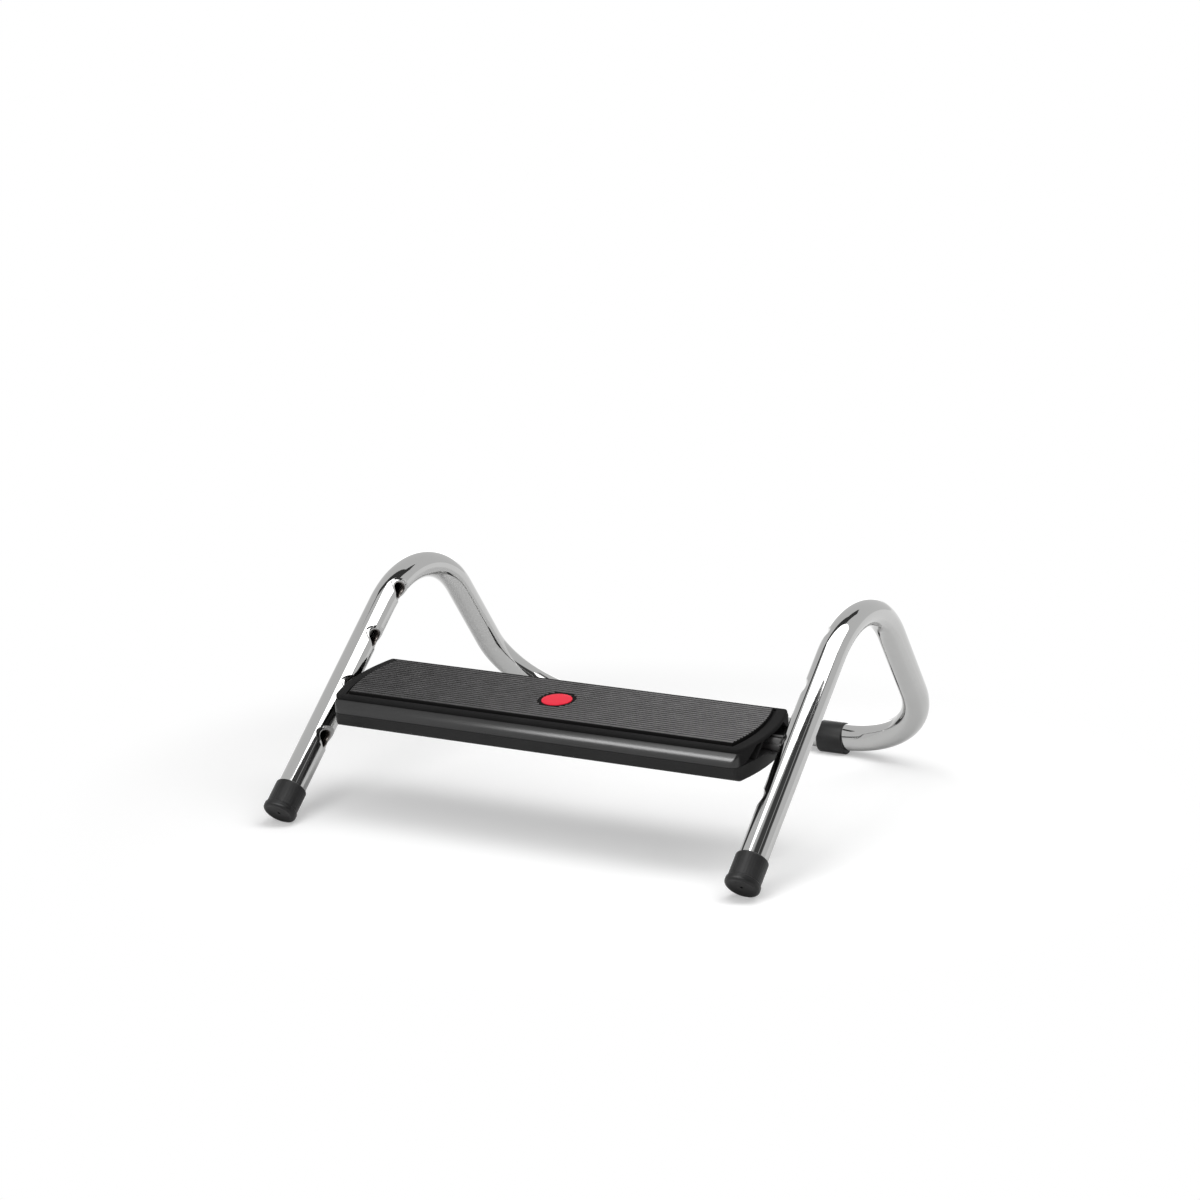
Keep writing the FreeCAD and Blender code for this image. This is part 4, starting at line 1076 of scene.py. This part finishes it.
def upper_shell():
    """Noses, lip and deck, with the tread bed, the hollow and the end recesses cut out."""
    sizes = bpy.context.scene.footrest_platform
    tread = bpy.context.scene.footrest_tread
    lower = sizes.seam_level + sizes.seam_gap / 2
    wall = sizes.shell_wall
    groove = sizes.lip_inner - tread.mat_depth
    bed = prism(bowed_strip(tread.mat_length + groove, sizes.lip_inner, tread.mat_bow + groove),
                sizes.bed_level, sizes.lip_level + OVERRUN, "XY")
    hollow = half_block([
        (sizes.nose_depth - wall, lower - OVERRUN), (sizes.nose_depth - wall, lower + wall),
        (sizes.crease_depth - wall, sizes.crease_level - sizes.crease_cut - wall),
        (sizes.lip_inner - wall, sizes.bed_level - wall)], sizes.hollow_length)
    far = sizes.end_length + OVERRUN
    pins = plug(sizes.stub_pin + FIT, -far, far, BORE_STEPS, Vector((1, 0, 0)))
    moved(pins, 0, sizes.axle_setback, 0)
    shell = worked(nose_block(sizes, lower), ("UNION", lip_block(sizes, lower)), crease_cutters(sizes),
                   bed, hollow, recess_cutters(sizes, lower), pins)
    layer = shell.verts.layers.float.new("gloss")
    for vert in shell.verts:
        past = abs(vert.co.y) - sizes.crease_depth + sizes.gloss_start
        vert[layer] = min(max(past / sizes.gloss_fade, 0), 1)
    return shell


def lower_tray():
    """Tray with rounded long edges, hollow inside, with the seats of its screws."""
    sizes = bpy.context.scene.footrest_platform
    upper = sizes.seam_level - sizes.seam_gap / 2
    wall = sizes.shell_wall
    spare = 4 * MM
    half = [(sizes.tray_sole, sizes.tray_bottom), (sizes.tray_knee, sizes.tray_knee_level),
            (sizes.tray_side, upper), (sizes.tray_side, upper + spare)]
    rim = sizes.tray_rim
    block = half_block(half, sizes.end_length - rim)
    soften(block, lambda e: max(v.co.z for v in e.verts) < sizes.tray_knee_level + MM
           and abs(e.verts[0].co.x - e.verts[1].co.x) > MM, sizes.tray_knee_round, 4)
    block = cut_flat(bow_ends(block, sizes.end_length, sizes.tray_side, rim), upper, 1)
    hollow = half_block([
        (sizes.tray_sole - wall, sizes.tray_bottom + wall),
        (sizes.tray_knee - wall, sizes.tray_knee_level + wall),
        (sizes.tray_side - wall, upper + OVERRUN)], sizes.hollow_length)
    collar = sizes.stub_collar + sizes.stub_play
    pin = sizes.stub_pin + FIT
    far = sizes.end_length + OVERRUN
    ends = sizes.recess_length
    bores = turned([(0, -far), (collar, -far), (collar, -ends), (pin, -ends), (pin, ends), (collar, ends),
                    (collar, far), (0, far)], BORE_STEPS, Vector((1, 0, 0)))
    moved(bores, 0, sizes.axle_setback, 0)
    low, high = sizes.tray_bottom - MM, sizes.tray_bottom + sizes.screw_seat_depth
    seats = [moved(plug(sizes.screw_seat, low, high, SEAT_STEPS),
                   sizes.boss_pitch * step, sizes.boss_depth * hand, 0)
             for step in (-1, 0, 1) for hand in (-1, 1)]
    return worked(block, hollow, bores, joined(*seats))


def tread_ribs(sizes, tread, top):
    """Ribs over the mat's base, which stop at the smooth field."""
    ribs = bmesh.new()
    height = tread.rib_height + tread.rib_sink
    for number in range(tread.rib_count):
        depth = (number - (tread.rib_count - 1) / 2) * tread.rib_pitch
        outer = abs(depth) + tread.rib_width / 2
        inner = abs(depth) - tread.rib_width / 2
        reach = bowed_end(tread.mat_length, tread.mat_bow, outer) - tread.rib_end
        runs = ((-reach, reach),)
        if inner < tread.disc_field:
            gap = math.sqrt(tread.disc_field ** 2 - max(inner, 0) ** 2)
            runs = ((-reach, -gap), (gap, reach))
        for start, end in runs:
            add_bar(ribs, (end - start, tread.rib_width, height),
                    ((start + end) / 2, depth, top + tread.rib_height - height / 2))
    crest = top + tread.rib_height - HAIR
    soften(ribs, lambda e: min(v.co.z for v in e.verts) > crest, tread.rib_edge)
    return ribs


def tread_mat():
    """Mat with its rounded edge, its ribs and the seat of the disc."""
    sizes = bpy.context.scene.footrest_platform
    tread = bpy.context.scene.footrest_tread
    top = sizes.bed_level + tread.mat_base
    base = prism(bowed_strip(tread.mat_length, tread.mat_depth, tread.mat_bow), sizes.bed_level, top, "XY")
    base = worked(base, plug(tread.disc_radius + FIT, top - tread.disc_sink, top + MM, ROUND_STEPS))
    soften(base, lambda e: min(v.co.z for v in e.verts) > top - HAIR
           and max(abs(v.co.y) for v in e.verts) > tread.disc_radius + MM
           and e.calc_face_angle(0) > SHARP, tread.mat_edge)
    mat = joined(base, tread_ribs(sizes, tread, top))
    # The groove layer marks painted shade: 1 on the mat's base and the buried feet of the ribs, so the
    # ribs' sides darken towards their feet; 0 on the ribs above.
    layer = mat.verts.layers.float.new("groove")
    for vert in mat.verts:
        vert[layer] = float(vert.co.z < top + HAIR)
    return mat


def plain_disc():
    """Slightly crowned disc with a rounded edge."""
    sizes = bpy.context.scene.footrest_platform
    tread = bpy.context.scene.footrest_tread
    low = sizes.bed_level + tread.mat_base - tread.disc_sink
    high = low + tread.disc_height
    edge = tread.disc_edge
    radius = tread.disc_radius
    outline = [(0, low), (radius, low), (radius, high - edge)]
    outline += arc(outline[-1], (radius - edge, high - tread.disc_crown), edge, 5)
    outline += [(radius * share, high - tread.disc_crown * share) for share in (0.96, 0.7, 0.4)]
    return turned(outline + [(0, high)], DISC_STEPS)


def pivot_stub(side):
    """Turned stub with a flange inside the shells and a grooved collar outside."""
    sizes = bpy.context.scene.footrest_platform
    rail = bpy.context.scene.footrest_frame
    inner = rail.side_spacing / 2 - rail.tube_radius
    flange_end = sizes.hollow_length - FIT
    flange_start = flange_end - sizes.stub_flange_wall
    collar_start = sizes.recess_length + FIT
    collar_end = inner + sizes.collar_reach
    tip = inner + sizes.stub_reach
    bore_end = tip - sizes.stub_bore_end + FIT
    edge = sizes.stub_edge
    pin = sizes.stub_pin
    collar = sizes.stub_collar
    outline = [(sizes.stub_bore, flange_start), (sizes.stub_flange, flange_start),
               (sizes.stub_flange, flange_end), (pin, flange_end), (pin, collar_start),
               (collar, collar_start), (collar, collar_end - edge)]
    outline += arc(outline[-1], (collar - edge, collar_end), edge, 4)
    outline += [(collar - edge, collar_end), (pin, collar_end), (pin, tip - edge)]
    outline += arc(outline[-1], (pin - edge, tip), edge, 4) + [(pin - edge, tip), (0, tip)]
    outline += [(0, bore_end), (sizes.stub_bore, bore_end)]
    body = turned(outline, ROUND_STEPS)
    bars = bmesh.new()
    overhang = 2 * MM
    for number in range(sizes.stub_grooves):
        turn = Matrix.Rotation(2 * math.pi * number / sizes.stub_grooves + sizes.stub_turn, 4, "Z")
        bar = add_bar(bars, (2 * overhang, sizes.stub_groove_width, collar_end - collar_start + overhang),
                      (collar - sizes.stub_groove + overhang, 0, (collar_start + collar_end) / 2))
        bmesh.ops.transform(bars, matrix=turn, verts=bar)
    bm = worked(body, bars)
    lay = Matrix.Rotation(math.pi / 2, 4, "Y")
    if side == -1:
        lay = Matrix.Rotation(math.pi, 4, "Z") @ lay
    place = Matrix.Translation((0, sizes.axle_setback, 0)) @ lay
    bmesh.ops.transform(bm, matrix=place, verts=bm.verts)
    return bm


def lay_on_platform(bm):
    """Bring a piece from the platform's own drawing to its place at rest."""
    bmesh.ops.transform(bm, matrix=platform_matrix(), verts=bm.verts)
    return bm


# Operators

class FOOTREST_OT_tube(bpy.types.Operator):
    """Model the bent chromed tube with its pressed sockets"""
    bl_idname = "footrest.tube"
    bl_label = "Frame Tube"

    def execute(self, context):
        run = FrameRun()
        inwards = -1.0
        wall = {"thickness": run.sizes.tube_wall, "offset": inwards, "use_even_offset": False}
        bm = worked(bent_tube(run), ("SOLIDIFY", wall), ("UNION", socket_cups(run)), socket_cutters(run))
        mark_bare(bm, run)
        make_piece("chromed_tube", bm, "frame", "chrome_tube", "chrome_plate", "frame_tube",
                   sharp=TUBE_SHARP)
        return {"FINISHED"}


class FOOTREST_OT_feet(bpy.types.Operator):
    """Model the rubber caps and sleeves that the frame stands on"""
    bl_idname = "footrest.feet"
    bl_label = "Rubber Feet"

    def execute(self, context):
        run = FrameRun()
        for side, word in ((-1, "left"), (1, "right")):
            make_piece(f"{word}_cap", rubber_cap(run, side), "frame", "black_rubber",
                       "moulded_rubber", f"{word}_front_cap")
            make_piece(f"{word}_sleeve", rubber_sleeve(run, side), "frame", "black_rubber",
                       "moulded_rubber", f"{word}_rear_sleeve")
        return {"FINISHED"}


class FOOTREST_OT_shells(bpy.types.Operator):
    """Model the platform's upper shell and lower tray"""
    bl_idname = "footrest.shells"
    bl_label = "Platform Shells"

    def execute(self, context):
        make_piece("upper_shell", lay_on_platform(upper_shell()), "platform", "gloss_black",
                   "shell_plastic", "top_shell")
        make_piece("lower_tray", lay_on_platform(lower_tray()), "platform", "gloss_black",
                   "tray_plastic", "bottom_tray")
        return {"FINISHED"}


class FOOTREST_OT_tread(bpy.types.Operator):
    """Model the ribbed mat and the disc in its middle"""
    bl_idname = "footrest.tread"
    bl_label = "Tread"

    def execute(self, context):
        make_piece("ribbed_tread", lay_on_platform(tread_mat()), "platform", "ribbed_mat",
                   "tread_rubber", "tread_mat")
        make_piece("plain_disc", lay_on_platform(plain_disc()), "platform", "red_disc", "disc_lacquer",
                   "badge_disc")
        return {"FINISHED"}


class FOOTREST_OT_stubs(bpy.types.Operator):
    """Model the stubs that hang in the sockets, and finish the steel inside the platform"""
    bl_idname = "footrest.stubs"
    bl_label = "Pivot Stubs"

    def execute(self, context):
        for side, word in ((-1, "left"), (1, "right")):
            make_piece(f"{word}_stub", lay_on_platform(pivot_stub(side)), "platform", "stub_black",
                       "stub_plastic", f"{word}_pivot_stub")
        for node in ("axle_rod", "tray_screws"):
            item = frame["nodes"][node]
            for place in item.material_slots:
                place.material = finish_of("zinc_plate")
            if not item.material_slots:
                raise RuntimeError(f"{node} has no material slot")
        return {"FINISHED"}


class FOOTREST_OT_stage(bpy.types.Operator):
    """Set the pale floor, the soft studio light and the camera"""
    bl_idname = "footrest.stage"
    bl_label = "Studio"

    def execute(self, context):
        lay_floor()
        hang_cards()
        set_world(context.scene)
        set_lamps(context.scene)
        set_camera(context.scene)
        context.scene.view_settings.view_transform = "Standard"
        return {"FINISHED"}


# Studio, in metres, degrees and watts

FLOOR_REACH = 6
# The dark ceiling: middle, height, turn and half sizes of each card
CARDS = ((-0.19, 0.205, 1.07, 27.5, 0.68, 0.12), (0.42, 0.66, 1.072, 65, 0.38, 0.13))
# Each lamp: place, turn, size, power, and whether it lights matt surfaces
LAMPS = {"overhead_softbox": ((0.491, 0.064, 1.05), (0, 0, 22.7), (1.57, 0.6), 10.1, True),
         "front_softbox": ((-0.1, -0.94, 1.46), (90, 0, 0), (0.66, 2.27), 9.9, True),
         "front_strip": ((-0.1, -0.93, 0.35), (90, 0, 0), (0.66, 0.3), 6.5, False)}
# The camera: place from the crossbar's middle, angles, lens and film in millimetres
VIEW_PLACE = (1.134997, -2.423229, 0.750186)
VIEW_AZIMUTH = 27.5952
VIEW_ELEVATION = 12.9255
VIEW_ROLL = -0.1919
VIEW_LENS = 85.4685
VIEW_FILM = 36


def lay_floor():
    """The pale floor under everything."""
    bm = bmesh.new()
    bmesh.ops.create_grid(bm, x_segments=1, y_segments=1, size=FLOOR_REACH)
    floor = put_in_scene("floor", bm)
    floor.data.materials.append(finish_of("studio_floor"))


def hang_cards():
    """The dark ceiling beside the overhead softbox, which only reflections show."""
    bm = bmesh.new()
    for x, y, height, turn, half_length, half_width in CARDS:
        place = (Matrix.Translation((x, y, height)) @ Matrix.Rotation(math.radians(turn), 4, "Z")
                 @ Matrix.Diagonal((half_length, half_width, 1, 1)))
        bmesh.ops.create_grid(bm, x_segments=1, y_segments=1, size=1, matrix=place)
    cards = put_in_scene("ceiling_card", bm)
    cards.data.materials.append(finish_of("dark_card"))
    cards.visible_camera = False
    cards.visible_diffuse = False
    cards.visible_shadow = False


def set_world(scene):
    """White surroundings to the camera; reflections also show the dark ends of the studio."""
    world = bpy.data.worlds.new("studio")
    scene.world = world
    sheet = Sheet(world)
    way = sheet.add("TexCoord", {}, {}, "Generated")

    def beyond(plane, blur, offset=0.0):
        """Whether a direction lies beyond a plane through the object, from 0 to 1."""
        side = sheet.add("VectorMath", {"operation": "DOT_PRODUCT"}, {0: way, 1: plane}, "Value")
        return sheet.rise(side, offset - blur, offset + blur)

    front_wall = (0.225, -0.974, 0.0)
    right, down = (1.0, 0.0, 0.0), (0.0, 0.0, -1.0)
    gap, other_gap = (0.641, 0.483, -0.596), (-0.641, -0.483, 0.596)
    lit_wall = (-0.468, 0.881, 0.07)
    walls, fill, dark, lit, gap_share = 0.8, 0.31, 0.72, 1.3, 0.6
    room = beyond(front_wall, 0.03) * beyond(right, 0.07) * beyond(down, 0.02, -0.96)
    slit = beyond(gap, 0.025, -0.03) * beyond(other_gap, 0.025, -0.03)
    glow = beyond(lit_wall, 0.02, 0.965)
    mirrored = walls - room * (1 - slit * gap_share) * dark + glow * lit
    level = fill + sheet.ray("Glossy") * (mirrored - fill)
    strength = level + sheet.ray("Camera") * (1 - level)
    background = sheet.add("Background", {}, {"Color": (1, 1, 1, 1), "Strength": strength})
    sheet.add("OutputWorld", {}, {"Surface": background})


def set_lamps(scene):
    """Softboxes overhead and in front, and a low strip in front that only reflections show."""
    for name, (place, turn, size, power, diffuse) in LAMPS.items():
        lamp = bpy.data.lights.new(name, "AREA")
        lamp.shape = "RECTANGLE"
        lamp.size, lamp.size_y = size
        lamp.energy = power
        item = bpy.data.objects.new(name, lamp)
        scene.collection.objects.link(item)
        item.location = place
        item.rotation_euler = [math.radians(value) for value in turn]
        item.visible_camera = False
        item.visible_diffuse = diffuse


def set_camera(scene):
    """The photograph's viewing angle: 28 degrees to the right, 13 degrees down."""
    camera = bpy.data.cameras.new("camera")
    camera.sensor_fit = "HORIZONTAL"
    camera.sensor_width = VIEW_FILM
    camera.lens = VIEW_LENS
    camera.clip_end = 50
    item = bpy.data.objects.new("camera", camera)
    scene.collection.objects.link(item)
    turn = (Matrix.Rotation(math.radians(VIEW_AZIMUTH), 4, "Z")
            @ Matrix.Rotation(math.radians(90 - VIEW_ELEVATION), 4, "X")
            @ Matrix.Rotation(math.radians(VIEW_ROLL), 4, "Z"))
    crossbar = Vector((0, FrameRun().heel.y, 0))
    item.matrix_world = Matrix.Translation(crossbar + Vector(VIEW_PLACE)) @ turn
    scene.camera = item


class FOOTREST_PT_panel(bpy.types.Panel):
    """Buttons for the footrest's pieces"""
    bl_label = "Footrest"
    bl_idname = "FOOTREST_PT_panel"
    bl_space_type = "VIEW_3D"
    bl_region_type = "UI"
    bl_category = "Footrest"

    def draw(self, context):
        for operator in OPERATORS:
            self.layout.operator(operator.bl_idname)


GROUPS = {"footrest_frame": FootrestFrameSizes, "footrest_feet": FootrestFeetSizes,
          "footrest_platform": FootrestPlatformSizes, "footrest_tread": FootrestTreadSizes,
          "footrest_finishes": FootrestFinishes}
OPERATORS = (FOOTREST_OT_tube, FOOTREST_OT_feet, FOOTREST_OT_shells, FOOTREST_OT_tread,
             FOOTREST_OT_stubs, FOOTREST_OT_stage)


def register():
    """Register the classes and give the scene their sizes."""
    for group in (*GROUPS.values(), *OPERATORS, FOOTREST_PT_panel):
        bpy.utils.register_class(group)
    for name, group in GROUPS.items():
        setattr(bpy.types.Scene, name, bpy.props.PointerProperty(type=group))


def unregister():
    """Take the sizes and the classes away again."""
    for name in GROUPS:
        delattr(bpy.types.Scene, name)
    for group in (FOOTREST_PT_panel, *OPERATORS, *GROUPS.values()):
        bpy.utils.unregister_class(group)


def main():
    """Model the whole footrest."""
    register()
    bpy.ops.footrest.tube()
    bpy.ops.footrest.feet()
    bpy.ops.footrest.shells()
    bpy.ops.footrest.tread()
    bpy.ops.footrest.stubs()
    bpy.ops.footrest.stage()


if __name__ == "__main__":
    main()
